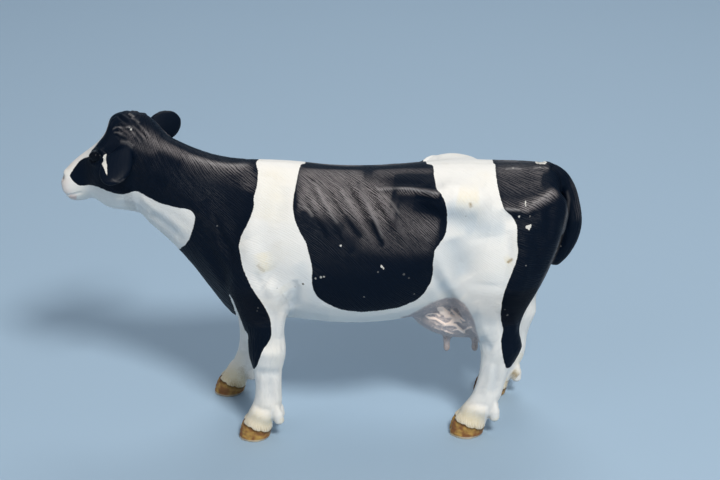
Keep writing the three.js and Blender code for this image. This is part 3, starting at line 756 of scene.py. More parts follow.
# the white between the hind legs, in millimetres across and up
REAR_WHITE = [
    -9, -5, -9, 20, -9, 34, -8.6, 40, -8, 44, -6.8, 47.4, -4.4, 49, -2, 48, 0, 47, 2.2, 48.2, 4.6, 49.4,
    7.2, 47.6, 8.8, 44, 10, 39, 10.6, 33, 10.6, 20, 10.6, -5,
]
# the near half of the blaze, in millimetres to the left of the face's middle and up
BLAZE = [
    -3, 80.4, 0, 80.4, 1.8, 80.0, 3.1, 78.4, 3.7, 76, 3.6, 73, 3.4, 70.5, 3.6, 68, 4.4, 66, 7, 64.6, 8, 50,
    -3, 50,
]
# a white sliver between the brisket and the near leg
SLIVER = [
    227, 285, 230, 287, 233, 293, 236, 302, 239, 311, 241, 320, 244, 332, 247, 345, 243, 345, 239, 330,
    237, 318, 234, 308, 230, 297,
]
# where the grey of the udder goes up over the belly and the thigh
UDDER_PATCH = [
    400, 321, 410, 315, 421, 309, 432, 303, 443, 299, 452, 298, 459, 300, 465, 305, 470, 313, 474, 322,
    477, 333, 480, 345, 481, 360, 440, 372, 405, 350,
]

# a distance that stands for no edge of paint near, and how far from the left ear the head can be worn, in mm
FAR_OFF = 4.0
EAR_REACH = 2.7
NEAR_PATCHES = {TRUNK: (FRONT_PATCH, FLANK_PATCH, RUMP_PATCH), HEAD: (FRONT_PATCH,)}
FAR_PATCHES = (FAR_FRONT, FAR_BRISKET, FAR_FLANK, FAR_RUMP)
# leg, its outlines, its side, and where the black reaches round its back, in millimetres
LEG_PATCHES = [
    (FORE_LEFT, (FRONT_PATCH, FLANK_PATCH), -1, None), (HIND_LEFT, (RUMP_PATCH, FLANK_PATCH), -1, 50),
    (FORE_RIGHT, (FAR_FRONT,), 1, None), (HIND_RIGHT, (FAR_RUMP,), 1, 55),
]


def edge_of(points, outlines, far_side=False):
    """Distance to the nearest outline in millimetres, below 0 inside."""
    places, limit, scale = (points[:, [0, 2]], 4, 1) if far_side else (photo(points), 16, PIXEL)
    out = np.full(len(points), FAR_OFF)
    for outline in outlines:
        out = np.minimum(out, signed(places, outline, limit) * scale)
    return out


def patches(points, normals, label):
    """Distance to the edge of the black paint in millimetres, below 0 on black."""
    out = np.full(len(points), FAR_OFF)
    for k, outlines in NEAR_PATCHES.items():
        mine = np.nonzero(label == k)[0]
        here = points[mine]
        share = smoothstep(-0.6, 0.6, here[:, 1] if k == TRUNK else -on_head(here)[1])
        out[mine] = edge_of(here, outlines) * (1 - share) + edge_of(here, FAR_PATCHES, True) * share
    for leg, outlines, side, rear in LEG_PATCHES:
        mine = np.nonzero(label == leg)[0]
        inner = smoothstep(-0.1, 0.45, -side * normals[mine, 1])
        if rear:
            inner = inner * smoothstep(rear, rear - 4, points[mine, 0])
        out[mine] = np.maximum(edge_of(points[mine], outlines, side > 0), 4 * inner - 2 * (1 - inner))
    rear = np.isin(label, (TRUNK, *HIND)) & (points[:, 0] > 38)
    out[rear] = np.maximum(out[rear], -signed(points[rear][:, [1, 2]], REAR_WHITE, 4))
    out[np.isin(label, (*EARS, TAIL))] = -FAR_OFF
    return out


# worn spots, white paint or bare plastic under the black: pieces, outline in pixels
WEAR = [
    ((EAR_LEFT, HEAD), 100, 155.4, 101.6, 154.8, 102.8, 157.4, 104.4, 154.4, 106.8, 154, 106, 157.4,
     106.2, 161, 107, 166, 107.2, 171, 107, 175.6, 105.2, 171.4, 103.2, 166.6, 101.2, 162, 100.6, 158.4),
    ((TRUNK, TAIL), 535.5, 160, 540, 160, 546.5, 161.6, 545.4, 164, 539, 163.8, 535.8, 163),
    (BODY, 526, 226, 528.4, 225, 531, 224.6, 530.9, 227, 529.9, 229, 529.2, 231.6, 528.2, 229.4, 526, 228.4),
    (BODY, 525, 201.5, 526.2, 201.3, 526, 204, 526.3, 206.5, 525.2, 206.2),
    (BODY, 381, 265, 382.8, 266, 384.6, 268.6, 383.8, 269.6, 382, 267.8, 380.6, 266.8),
]

# Painted strokes: width in pixels, strength, line

# dry brushing, together with painted sheen where light falls on the hair; strokes below 0 paint shade in
# grooves and hollows
BRUSH_AND_SHEEN = [
    # neck and poll
    (4.2, 0.72, 138, 128, 150, 138, 160, 144, 177, 151, 193, 158, 210, 164, 227, 167.5, 254, 168),
    (5.0, 0.16, 180, 164, 206, 174, 232, 180, 256, 184),
    (6.0, 0.24, 249, 172, 251, 184, 248, 192),
    (5.0, 0.33, 118, 130, 127, 131, 136, 135),
    (3.6, 0.28, 126, 140, 136, 145, 146, 149, 158, 153),
    (3.0, -1.0, 162, 132, 177, 141, 193, 149, 210, 154.5, 227, 158, 243, 159, 256, 158.5),
    # flank
    (1.8, -1.0, 302, 165.5, 340, 167, 372, 167, 405, 165, 434, 165),
    (5.0, 0.84, 298, 174, 335, 174, 364, 175),
    (9.0, 1.15, 296, 189, 335, 190, 372, 193, 392, 197),
    (8.0, 0.95, 298, 200, 320, 204, 345, 209, 380, 213, 396, 216),
    (8.0, 0.4, 396, 214, 412, 218, 440, 226),
    (7.0, 0.34, 344, 225, 362, 231, 385, 233, 412, 233, 440, 235),
    (6.0, 0.22, 356, 240, 380, 247, 405, 249, 436, 248),
    (4.0, 0.5, 372, 171, 392, 171, 412, 171, 436, 172),
    (4.4, -0.5, 394, 180, 410, 179, 440, 179),
    (2.6, 0.8, 396, 191, 412, 191, 428, 193, 440, 196),
    (4.6, -0.8, 414, 202, 428, 205, 446, 211),
    (1.5, -0.55, 357, 181, 362, 192, 368, 203),
    (2.0, -0.45, 345, 214, 353, 226, 362, 238),
    (1.8, -0.5, 371, 218, 377, 231, 383, 247),
    (2.4, -0.45, 302, 210, 312, 224, 322, 238),
    (1.6, -0.3, 328, 196, 336, 206, 344, 216),
    # rump
    (4.5, 0.42, 494, 171, 520, 170, 550, 171),
    (7.0, 0.27, 496, 184, 520, 186, 544, 184),
    (4.0, 0.36, 500, 204, 514, 206, 530, 207),
    (3.6, 1.0, 520, 209, 538, 202, 549, 196, 557, 190),
    (4.0, -0.5, 542, 178, 552, 180, 560, 183),
    (3.0, 0.2, 572, 176, 578, 196, 578, 222),
]
# painted highlights: thin bright lines on the black along ridges, ribs, curls, the ear's lower rim and the
# thigh's rim
PAINTED_GLINTS = [
    (0.7, 1.0, 398, 188, 410, 188.8, 424, 191, 440, 194),
    (0.8, 0.45, 374, 186.5, 380, 190, 388, 189, 399, 188),
    (0.9, 0.35, 382, 192, 392, 203, 400, 214),
    (1.0, 0.34, 313, 181, 318, 190, 324, 202, 332, 215, 338, 224),
    (0.8, 0.34, 341, 190, 347, 200, 352, 207),
    (0.9, 0.34, 361, 193, 367, 204, 371, 212, 377, 225, 383, 239),
    (0.9, 0.35, 304, 205, 309, 211, 313, 217),
    (0.9, 0.7, 505, 208.6, 512, 209.6, 521, 210),
    (1.2, 0.35, 530, 205, 541, 199, 552, 192),
    (0.7, 0.5, 505, 169, 513, 168.4, 522, 169),
    (0.6, 0.4, 533, 168, 541, 167.4, 549, 168.6),
    (0.8, 0.3, 567, 190, 569, 200, 567.5, 212, 563, 232, 556, 252, 548, 270, 538, 290),
    (1.4, 0.45, 188, 156, 200, 160, 214, 164, 230, 165.6, 250, 165),
    (0.45, 0.34, 112.6, 129.4, 115.4, 127.4, 119, 127, 122.4, 128.6),
    (0.45, 0.3, 113.8, 132.2, 117.6, 132.6, 122, 134.4),
    (0.5, 0.6, 126, 127.4, 129.4, 126.4, 132.6, 128.6),
    (0.5, 0.9, 128.4, 113.4, 131, 114.6, 134.4, 117.2),
    (0.5, 0.45, 131, 117.4, 135, 119.6, 139.6, 123),
    (1.2, 0.25, 120, 141, 128, 143, 134, 147),
    (0.5, 0.2, 132, 125, 138, 131, 145, 139),
    (0.5, 0.2, 136, 122, 143, 128.4, 151, 138),
    (0.5, 0.18, 130, 129.6, 136, 136, 141, 143),
    (0.6, 0.16, 111.5, 178.6, 114.5, 181, 118.5, 181.8, 122, 180.6, 124.5, 178.6),
]
# yellowed and greyed white
YELLOW = [
    (14.0, 0.3, 276, 165, 272, 195, 268, 222),
    (5.5, 0.8, 262, 252, 264, 262, 268, 272),
    (7.0, 0.75, 457, 196, 466, 198, 480, 197),
    (3.0, 0.8, 505, 262, 511, 259),
    (4.0, 0.3, 282, 286, 286, 292),
    (7.0, 1.0, 222, 377, 232, 381, 241, 388),
    (6.0, 0.45, 236, 350, 236, 364, 232, 376),
    (5.0, 0.55, 252, 414, 260, 420, 270, 427),
    (5.5, 0.8, 462, 412, 470, 418, 480, 424),
    (3.5, 1.0, 512, 371, 518, 376),
    (4.0, 0.5, 521, 352, 517, 366),
    (2.4, 0.8, 281, 418, 284, 423),
    (2.4, 0.8, 494, 419, 497, 423),
]
# brown stains on the white and dirt on the far fore hoof, and painted shadow on the far hind hoof where it
# lies behind the near leg, with their pieces first
BROWN = [
    ((TRUNK,), 1.5, 0.55, 470, 202, 471.4, 208),
    ((TRUNK, HIND_LEFT), 1.2, 0.7, 507, 263, 513, 258.6),
    ((TRUNK, FORE_LEFT), 1.6, 0.4, 257, 264, 260, 268, 265, 272),
    ((FORE_RIGHT,), 5.0, 0.45, 228, 384, 234, 387, 242, 391),
    ((FORE_RIGHT,), 3.6, 0.5, 218, 391, 226, 394, 236, 395),
    ((FORE_RIGHT,), 4.0, 0.35, 240, 366, 244, 374, 249, 382),
    ((HIND_RIGHT,), 3.4, 0.6, 512, 372, 518, 377),
    ((HIND_RIGHT,), 3.0, 0.55, 508, 380, 510, 388),
    # painted shadow on the far hind hoof and pastern behind the near leg
    ((HIND_RIGHT,), 8.0, 1.0, 474, 374, 476, 390),
    ((HIND_LEFT,), 1.6, 0.35, 488, 416, 492, 424),
]
# pink on the muzzle, and painted shade on the white: a cool blue-grey in hollows, under folds, at the hock
# and under the jaw and throat
PINK = [
    (1.8, 1.0, 69, 195.5, 73, 197.4, 77, 197.6),
    (4.0, 0.4, 63, 178, 64, 188, 68, 195),
    (3.0, 0.25, 98, 133, 88, 146, 76, 158, 66, 170),
]
PAINTED_SHADE = [
    (8.0, 1.0, 444, 206, 452, 214, 462, 220, 476, 224),
    (7.5, 0.85, 466, 224, 486, 229, 506, 229),
    (8.0, 0.8, 452, 236, 456, 256, 464, 276),
    (6.5, 0.6, 298, 262, 304, 276, 311, 290, 321, 304),
    (6.0, 0.5, 288, 306, 300, 312, 330, 316),
    (3.0, 0.4, 290, 303, 287, 314),
    (4.2, 0.75, 294, 287, 296, 295, 297, 305),
    (3.5, 0.5, 258, 372, 268, 374, 280, 372),
    (5.0, 0.45, 484, 366, 494, 374, 492, 392),
    (5.0, 0.6, 462, 300, 470, 312, 478, 330),
    (5.0, 0.7, 440, 282, 452, 290, 462, 298),
    (4.0, 1.0, 478, 339, 486, 345, 493, 349),
    (4.0, 0.6, 474, 312, 486, 320, 498, 322),
    (5.0, 0.5, 436, 244, 440, 262, 438, 282, 428, 302),
    (3.4, 0.6, 120, 198, 138, 204, 152, 211),
    (4.6, 0.75, 150, 210, 164, 220, 178, 234),
]


def painted_lines(points, normals, label, lines, both=True, soft=False):
    """Soft painted strokes, on both sides of the cow or only on the near one."""
    seen, facing = near_side(points, normals, label) if both else (points, normals)
    pixels = photo(seen)
    out = np.zeros(len(points))
    for width, strength, *line in lines:
        out += strength * stroke(pixels, line, width, ends=0.12)
    out = out * smoothstep(0.15, -0.1, facing[:, 1] - 0.25 * facing[:, 2])
    if soft:
        out = 1 - np.exp(-1.2 * np.maximum(out, 0))
    return np.clip(out, 0, 1)


def worn(points, normals, label):
    """Distance to the nearest worn spot in millimetres, below 0 inside."""
    pixels = photo(points)
    out = np.full(len(points), FAR_OFF)
    for names, *outline in WEAR:
        mine = np.isin(label, names)
        out[mine] = np.minimum(out[mine], signed(pixels[mine], outline, 10) * PIXEL)
    ear = points[label == EAR_LEFT]
    for i in np.nonzero((label == HEAD) & (out < 1))[0]:
        if ((ear - points[i]) ** 2).sum(axis=1).min() > EAR_REACH**2:
            out[i] = FAR_OFF
    return np.where((openness(points, normals) > 0.05) & (points[:, 1] < 5), out, FAR_OFF)


def udder_paint(points, normals, label):
    """Distance to the edge of the udder's grey in millimetres, below 0 inside."""
    seen, facing = near_side(points, normals, label)
    out = signed(photo(seen), UDDER_PATCH, 16) * PIXEL
    x, y, z = points.T
    below = (z < 40) & (np.abs(y) < 8.5) & (x > 20) & (x < 46) & (label == TRUNK)
    out = np.where(below, np.minimum(out, 1 - 2 * smoothstep(0.1, 0.5, facing[:, 1])), out)
    legs = np.isin(label, HIND)
    out[legs] = np.maximum(out[legs], np.where(z[legs] < 25, FAR_OFF, -FAR_OFF))
    out[label == UDDER] = -FAR_OFF
    out[~np.isin(label, (TRUNK, UDDER, *HIND))] = FAR_OFF
    return out


# Build the skin

points, faces, net = base_skin()
label = tidy_labels(len(points), faces, nearest_node(points, faces))
vlabel = votes_of(len(points), faces, label).argmax(axis=1)
points = relief(points, faces, net, vlabel)
points = face_relief(points, faces, vlabel)
points = net.relax(points, 2, np.full(len(points), 0.5))
points = hoof_relief(points, faces, vlabel)
hair = coat(points, vlabel)
normals = vertex_normals(points, faces)
head, ears = vlabel == HEAD, np.isin(vlabel, EARS)
seen_squarely = openness(points, normals)
ahead, face_left = on_head(points)

black = patches(points, normals, vlabel)
hidden = np.where(vlabel == TRUNK, smoothstep(-3.2, -1.4, points[:, 1]), 1)
black = np.maximum(black, -signed(photo(points), SLIVER, 16) * PIXEL - 8 * hidden)
black = net.blur(black, 2)
# smooth edges where the camera sees the paint edge on
for share, rounds in (
    (head * smoothstep(0.5, 0.2, seen_squarely), 40),
    (np.isin(vlabel, list(FEET)) * smoothstep(0.3, 0.05, seen_squarely), 30),
):
    black = black + share * (net.blur(black, rounds) - black)
share = head * smoothstep(0.34, 0.14, seen_squarely) * (face_left > 0)
share = net.blur(share * (points[:, 2] > 62), 6)
blaze = -signed(np.stack([face_left, points[:, 2]], 1), BLAZE, 4)
black = black + share * (blaze - black)

hoof = hoof_distance(points, vlabel)
grooves = strands(hair) * (0.15 + 0.85 * smoothstep(0.6, -0.6, black))
muzzle = head * smoothstep(15, 19, ahead)
crown = np.isin(vlabel, (HEAD, TRUNK)) * np.exp(-(((ahead - CROWN) / 1.8) ** 2))
crown = crown * smoothstep(62, 66, points[:, 2])
forehead = head * spot(np.stack([ahead, points[:, 2]], 1), (11.0, 78.0), (3.5, 4.0))
hairy = smoothstep(0.3, 2.5, hoof) * (vlabel != UDDER) * (1 - muzzle) * (1 - crown) * (1 - forehead)
hairy = hairy * (1 - 0.85 * ears) * smoothstep(4, 12, points[:, 2])
points = points + normals * (GROOVE * grooves * hairy)[:, None]
points = np.clip(points, np.array(CAD_LOW) * 1000, np.array(CAD_HIGH) * 1000)
points[points[:, 2] < 0.12, 2] = 0
normals = vertex_normals(points, faces)

brown = np.zeros(len(points))
for names, *line in BROWN:
    mine = np.isin(vlabel, names)
    brown[mine] += painted_lines(points[mine], normals[mine], vlabel[mine], [line], both=False)
eye, nostril = eye_and_nostril(points, vlabel)
curve = net.blur(((points - net.mean(points)) * normals).sum(axis=1), 4)
# what the materials read at each vertex
PAINT = {
    "black": black,
    "curve": np.clip(curve / np.percentile(np.abs(curve), 95), -2.5, 1.3),
    "hoof": hoof,
    "hairy": hairy,
    "brush_and_sheen": painted_lines(points, normals, vlabel, BRUSH_AND_SHEEN, soft=True) * ~ears,
    "glint": painted_lines(points, normals, vlabel, PAINTED_GLINTS),
    "yellow": painted_lines(points, normals, vlabel, YELLOW, both=False),
    "brown": np.clip(brown, 0, 1),
    "painted_shade": painted_lines(points, normals, vlabel, PAINTED_SHADE),
    "pink": painted_lines(points, normals, vlabel, PINK),
    "wear": worn(points, normals, vlabel),
    "bag": net.blur(udder_paint(points, normals, vlabel), 3),
    "vein": painted_lines(points, normals, vlabel, VEINS),
    "poll": forehead,
    "eye": eye,
    "nostril": nostril,
}


# Pieces

def loops_of(faces):
    """Closed runs of the edges that only one face uses."""
    pairs = np.concatenate([faces[:, [i, (i + 1) % 4]] for i in range(4)])
    _, index, counts = np.unique(np.sort(pairs, axis=1), axis=0, return_index=True, return_counts=True)
    after = {}
    for a, b in pairs[index[counts == 1]].tolist():
        after.setdefault(a, []).append(b)
    loops = []
    while after:
        start = here = min(after)
        loop = []
        while not loop or here != start:
            loop.append(here)
            step = after[here].pop()
            if not after[here]:
                del after[here]
            here = step
        loops.append(loop)
    return loops


def make_piece(name):
    """A piece's part of the skin, turned in along its rim and closed behind it."""
    used, back = np.unique(faces[label == NODES.index(name)], return_inverse=True)
    quads = back.reshape(-1, 4)
    places, outward = points[used], normals[used]
    centre = places.mean(axis=0)
    polygons = [tuple(q) for q in quads.tolist()]
    extra, extra_normals, sources = [], [], []
    for loop in loops_of(quads):
        first, size = len(used) + len(extra), len(loop)
        rim = places[loop]
        way = centre - rim.mean(axis=0)
        way = way / max(np.linalg.norm(way), 1e-6)
        extra += [*(rim - outward[loop] * 0.6), rim.mean(axis=0) + way * 0.4]
        extra_normals += [*-outward[loop], -way]
        sources += [*loop, loop[0]]
        for i in range(size):
            j = (i + 1) % size
            polygons.append((loop[j], loop[i], first + i, first + j))
            polygons.append((first + j, first + i, first + size))
    rows = np.concatenate([used, used[sources]])
    mesh = bpy.data.meshes.new(name + "_skin")
    mesh.from_pydata((np.concatenate([places, extra]) / 1000).tolist(), [], polygons)
    for key, values in PAINT.items():
        mesh.attributes.new(key, "FLOAT", "POINT").data.foreach_set("value", values[rows].astype(np.float32))
    vectors = mesh.attributes.new("coat", "FLOAT_VECTOR", "POINT")
    vectors.data.foreach_set("vector", hair[rows].astype(np.float32).ravel())
    mesh.polygons.foreach_set("use_smooth", [True] * len(mesh.polygons))
    mesh.update()
    mesh.normals_split_custom_set_from_vertices(np.concatenate([outward, extra_normals]).tolist())
    return placed(name + "_skin", mesh)


# Materials

COLORS = {
    "black and painted blue reflection": (0.0010, 0.0046, 0.0125), "brushed black and sheen": (0.0150, 0.0145, 0.0180),
    "brushed grey and sheen": (0.225, 0.205, 0.207), "glint": (0.40, 0.38, 0.375), "white": (0.82, 0.80, 0.76),
    "shade": (0.40, 0.44, 0.48), "cream": (0.74, 0.67, 0.53), "hair groove shade": (0.46, 0.48, 0.50),
    "painted cool shade": (0.42, 0.51, 0.58), "yellowed": (0.80, 0.70, 0.47), "pink": (0.62, 0.40, 0.35),
    "dark spot": (0.07, 0.055, 0.03), "ochre": (0.72, 0.57, 0.30), "tuft_shade": (0.40, 0.28, 0.12),
    "dirt and shadow": (0.27, 0.17, 0.05), "bare and glint grey": (0.60, 0.60, 0.60), "bare and glint cream": (0.78, 0.74, 0.64),
    "nostril": (0.20, 0.125, 0.11), "eye": (0.0024, 0.0040, 0.0080), "horn brown": (0.26, 0.115, 0.045),
    "horn ochre": (0.47, 0.285, 0.085), "horn ring": (0.15, 0.070, 0.028), "horn red": (0.42, 0.15, 0.07),
    "coronet shadow": (0.06, 0.034, 0.016), "horn rim": (0.66, 0.60, 0.48), "horn dirt and shadow": (0.085, 0.042, 0.022),
    "flesh grey": (0.40, 0.365, 0.375), "flesh warm": (0.50, 0.43, 0.41), "flesh hollow shade": (0.15, 0.12, 0.13),
    "flesh web": (0.66, 0.55, 0.50), "vein": (0.98, 0.80, 0.69), "teat": (0.40, 0.31, 0.27),
}


class Tree:
    """Short calls for a material's nodes."""

    def __init__(self, name):
        self.material = bpy.data.materials.new(name)
        self.material.use_nodes = True
        self.tree = self.material.node_tree
        self.tree.nodes.clear()

    def node(self, kind, inputs=(), **settings):
        """A node with its settings, and values or links for its first inputs or those with a name."""
        node = self.tree.nodes.new("ShaderNode" + kind)
        for key, value in settings.items():
            setattr(node, key, value)
        for key, value in inputs.items() if isinstance(inputs, dict) else enumerate(inputs):
            if isinstance(value, bpy.types.NodeSocket):
                self.tree.links.new(value, node.inputs[key])
            else:
                node.inputs[key].default_value = value
        return node

    def math(self, kind, *values):
        return self.node("Math", values, operation=kind).outputs[0]

    def mul(self, a, b):
        return self.math("MULTIPLY", a, b)

    def mad(self, a, b, c):
        """a times b, plus c."""
        return self.math("MULTIPLY_ADD", a, b, c)

    def less(self, a, b):
        return self.math("SUBTRACT", a, b)

    def clamp(self, a):
        return self.node("Clamp", [a]).outputs[0]

    def step(self, value, low, high):
        return self.node("MapRange", [value, low, high], interpolation_type="SMOOTHSTEP").outputs[0]

    def attribute(self, name, output="Fac"):
        return self.node("Attribute", attribute_name=name).outputs[output]

    def noise(self, vector, scale, detail=3.0, rough=0.55, output="Fac"):
        inputs = {"Vector": vector, "Scale": scale, "Detail": detail, "Roughness": rough}
        return self.node("TexNoise", inputs).outputs[output]

    def vector(self, kind, *values):
        return self.node("VectorMath", values, operation=kind).outputs[0]

    def stretch(self, vector, *factors):
        return self.vector("MULTIPLY", vector, factors)

    def mix(self, share, a, b, amount=None):
        """Color a where share is 0, b where it is 1; amount is how much b covers."""
        if amount is not None:
            share = self.mul(share, amount)
        a, b = ((*COLORS[color], 1) if isinstance(color, str) else color for color in (a, b))
        return self.node("Mix", {0: share, 6: a, 7: b}, data_type="RGBA").outputs[2]

    def place(self):
        """The place on the piece in millimetres."""
        return self.stretch(self.node("TexCoord").outputs["Object"], 1000, 1000, 1000)

    def bend(self, vector, scale, amount):
        """A place moved about by noise."""
        noise = self.noise(vector, scale, 2.0, 0.5, "Color")
        return self.vector("MULTIPLY_ADD", self.vector("SUBTRACT", noise, (0.5,) * 3), (amount,) * 3, vector)

    def up(self, place):
        return self.node("SeparateXYZ", [place]).outputs[2]

    def finish(self, color, rough, height=None, distance=0.0, shine=0.5):
        """Ends the material in a glossy paint with a bumpy surface."""
        inputs = {"Base Color": color, "Roughness": rough, "Specular IOR Level": shine}
        shader = self.node("BsdfPrincipled", inputs)
        if height is not None:
            bump = self.node("Bump", {"Strength": 1.0, "Distance": distance, "Height": height})
            self.tree.links.new(bump.outputs[0], shader.inputs["Normal"])
        self.node("OutputMaterial", [shader.outputs[0]])
        return self.material


SKIN_TREE = BVHTree.FromPolygons(points.tolist(), faces.tolist())


def surface_at(x, y):
    """The place on the skin that the photograph's camera sees at a pixel."""
    way = np.array([x - MIDDLE_X, FOCAL * COS + (MIDDLE_Y - y) * SIN, (MIDDLE_Y - y) * COS - FOCAL * SIN])
    hit = SKIN_TREE.ray_cast(Vector(CAMERA_AT), Vector(way / np.linalg.norm(way)))
    return tuple(hit[0]) if hit[0] is not None else (0.0, 0.0, -50.0)


# small worn places, with two painted highlights on the poll where light glints on the curls, and dark spots
# on the white: pixel, size in millimetres, strength
CHIPS_AND_GLINTS = [
    (340.6, 245.6, 0.32, 0.9), (315.6, 278.5, 0.3, 0.6), (404, 274.5, 0.34, 0.14), (409, 278, 0.3, 0.1),
    (321, 277.4, 0.34, 0.6), (323.8, 276.8, 0.28, 0.6), (414, 294, 0.22, 0.4), (364, 297, 0.22, 0.3),
    (519, 216.5, 0.3, 0.8), (530, 216.3, 0.22, 0.3), (513, 168, 0.32, 0.5), (540, 167, 0.24, 0.4),
    (505, 309.5, 0.24, 0.2), (507.5, 315, 0.28, 0.24), (561, 246, 0.24, 0.2), (526, 265.6, 0.22, 0.2),
    # the first two here, on the poll, are painted highlights
    (131, 129.4, 0.3, 0.9), (129.4, 127.6, 0.22, 0.6), (217, 226, 0.22, 0.3), (258, 308, 0.22, 0.24),
    (257, 311, 0.2, 0.18), (378, 272, 0.26, 0.2),
]
DARK_SPOTS = [
    (303, 284, 0.32, 0.9), (295, 287, 0.2, 0.5), (277, 288, 0.22, 0.5), (466, 216, 0.2, 0.5),
]


def spots(t, place, listed):
    """A mask of small ragged spots at listed pixels."""
    bent, mask = t.bend(place, 3.2, 0.55), 0.0
    for x, y, size, strength in listed:
        away = t.node("VectorMath", [bent, surface_at(x, y)], operation="DISTANCE").outputs["Value"]
        near = t.less(1.0, t.math("DIVIDE", away, size))
        mask = t.math("MAXIMUM", mask, t.mul(t.step(near, 0.0, 0.4), strength))
    return mask


def udder_color(t, place, curve, grain):
    flesh = t.mix(t.step(t.noise(place, 0.35, 3.0, 0.5), 0.35, 0.7), "flesh grey", "flesh warm")
    # painted shade in the udder's hollows
    flesh = t.mix(t.step(curve, -0.2, -1.2), flesh, "flesh hollow shade", 0.25)
    web = t.math("ABSOLUTE", t.less(t.noise(t.bend(place, 0.6, 1.2), 0.42, 2.0, 0.5), 0.5))
    flesh = t.mix(t.step(web, 0.035, 0.006), flesh, "flesh web", 0.6)
    flesh = t.mix(t.step(t.mad(grain, 0.3, t.attribute("vein")), 0.40, 0.85), flesh, "vein", 0.95)
    return t.mix(t.step(t.up(place), 23.0, 20.6), flesh, "teat", 0.55)


def hoof_color(t, place, edge, grain, brown):
    """Patchy horn, with painted shadow under the hair's fringe, worn pale at the ground."""
    patchy = t.step(t.noise(place, 0.5, 2.0, 0.5), 0.38, 0.62)
    horn = t.mix(patchy, "horn brown", "horn ochre")
    rings = t.noise(t.stretch(place, 0.35, 0.35, 2.2), 1.0, 2.0, 0.5)
    horn = t.mix(t.step(rings, 0.5, 0.72), horn, "horn ring", 0.4)
    horn = t.mix(t.step(grain, 0.5, 0.8), horn, "horn red", 0.25)
    # painted shadow where the fringe of hair overhangs the horn
    horn = t.mix(t.step(edge, -1.1, -0.1), horn, "coronet shadow", 0.7)
    horn = t.mix(t.step(t.up(place), 0.8, 0.4), horn, "horn rim", 0.75)
    # brown from dirt, and painted shadow on the far hind hoof
    return t.mix(brown, horn, "horn dirt and shadow", 0.75)


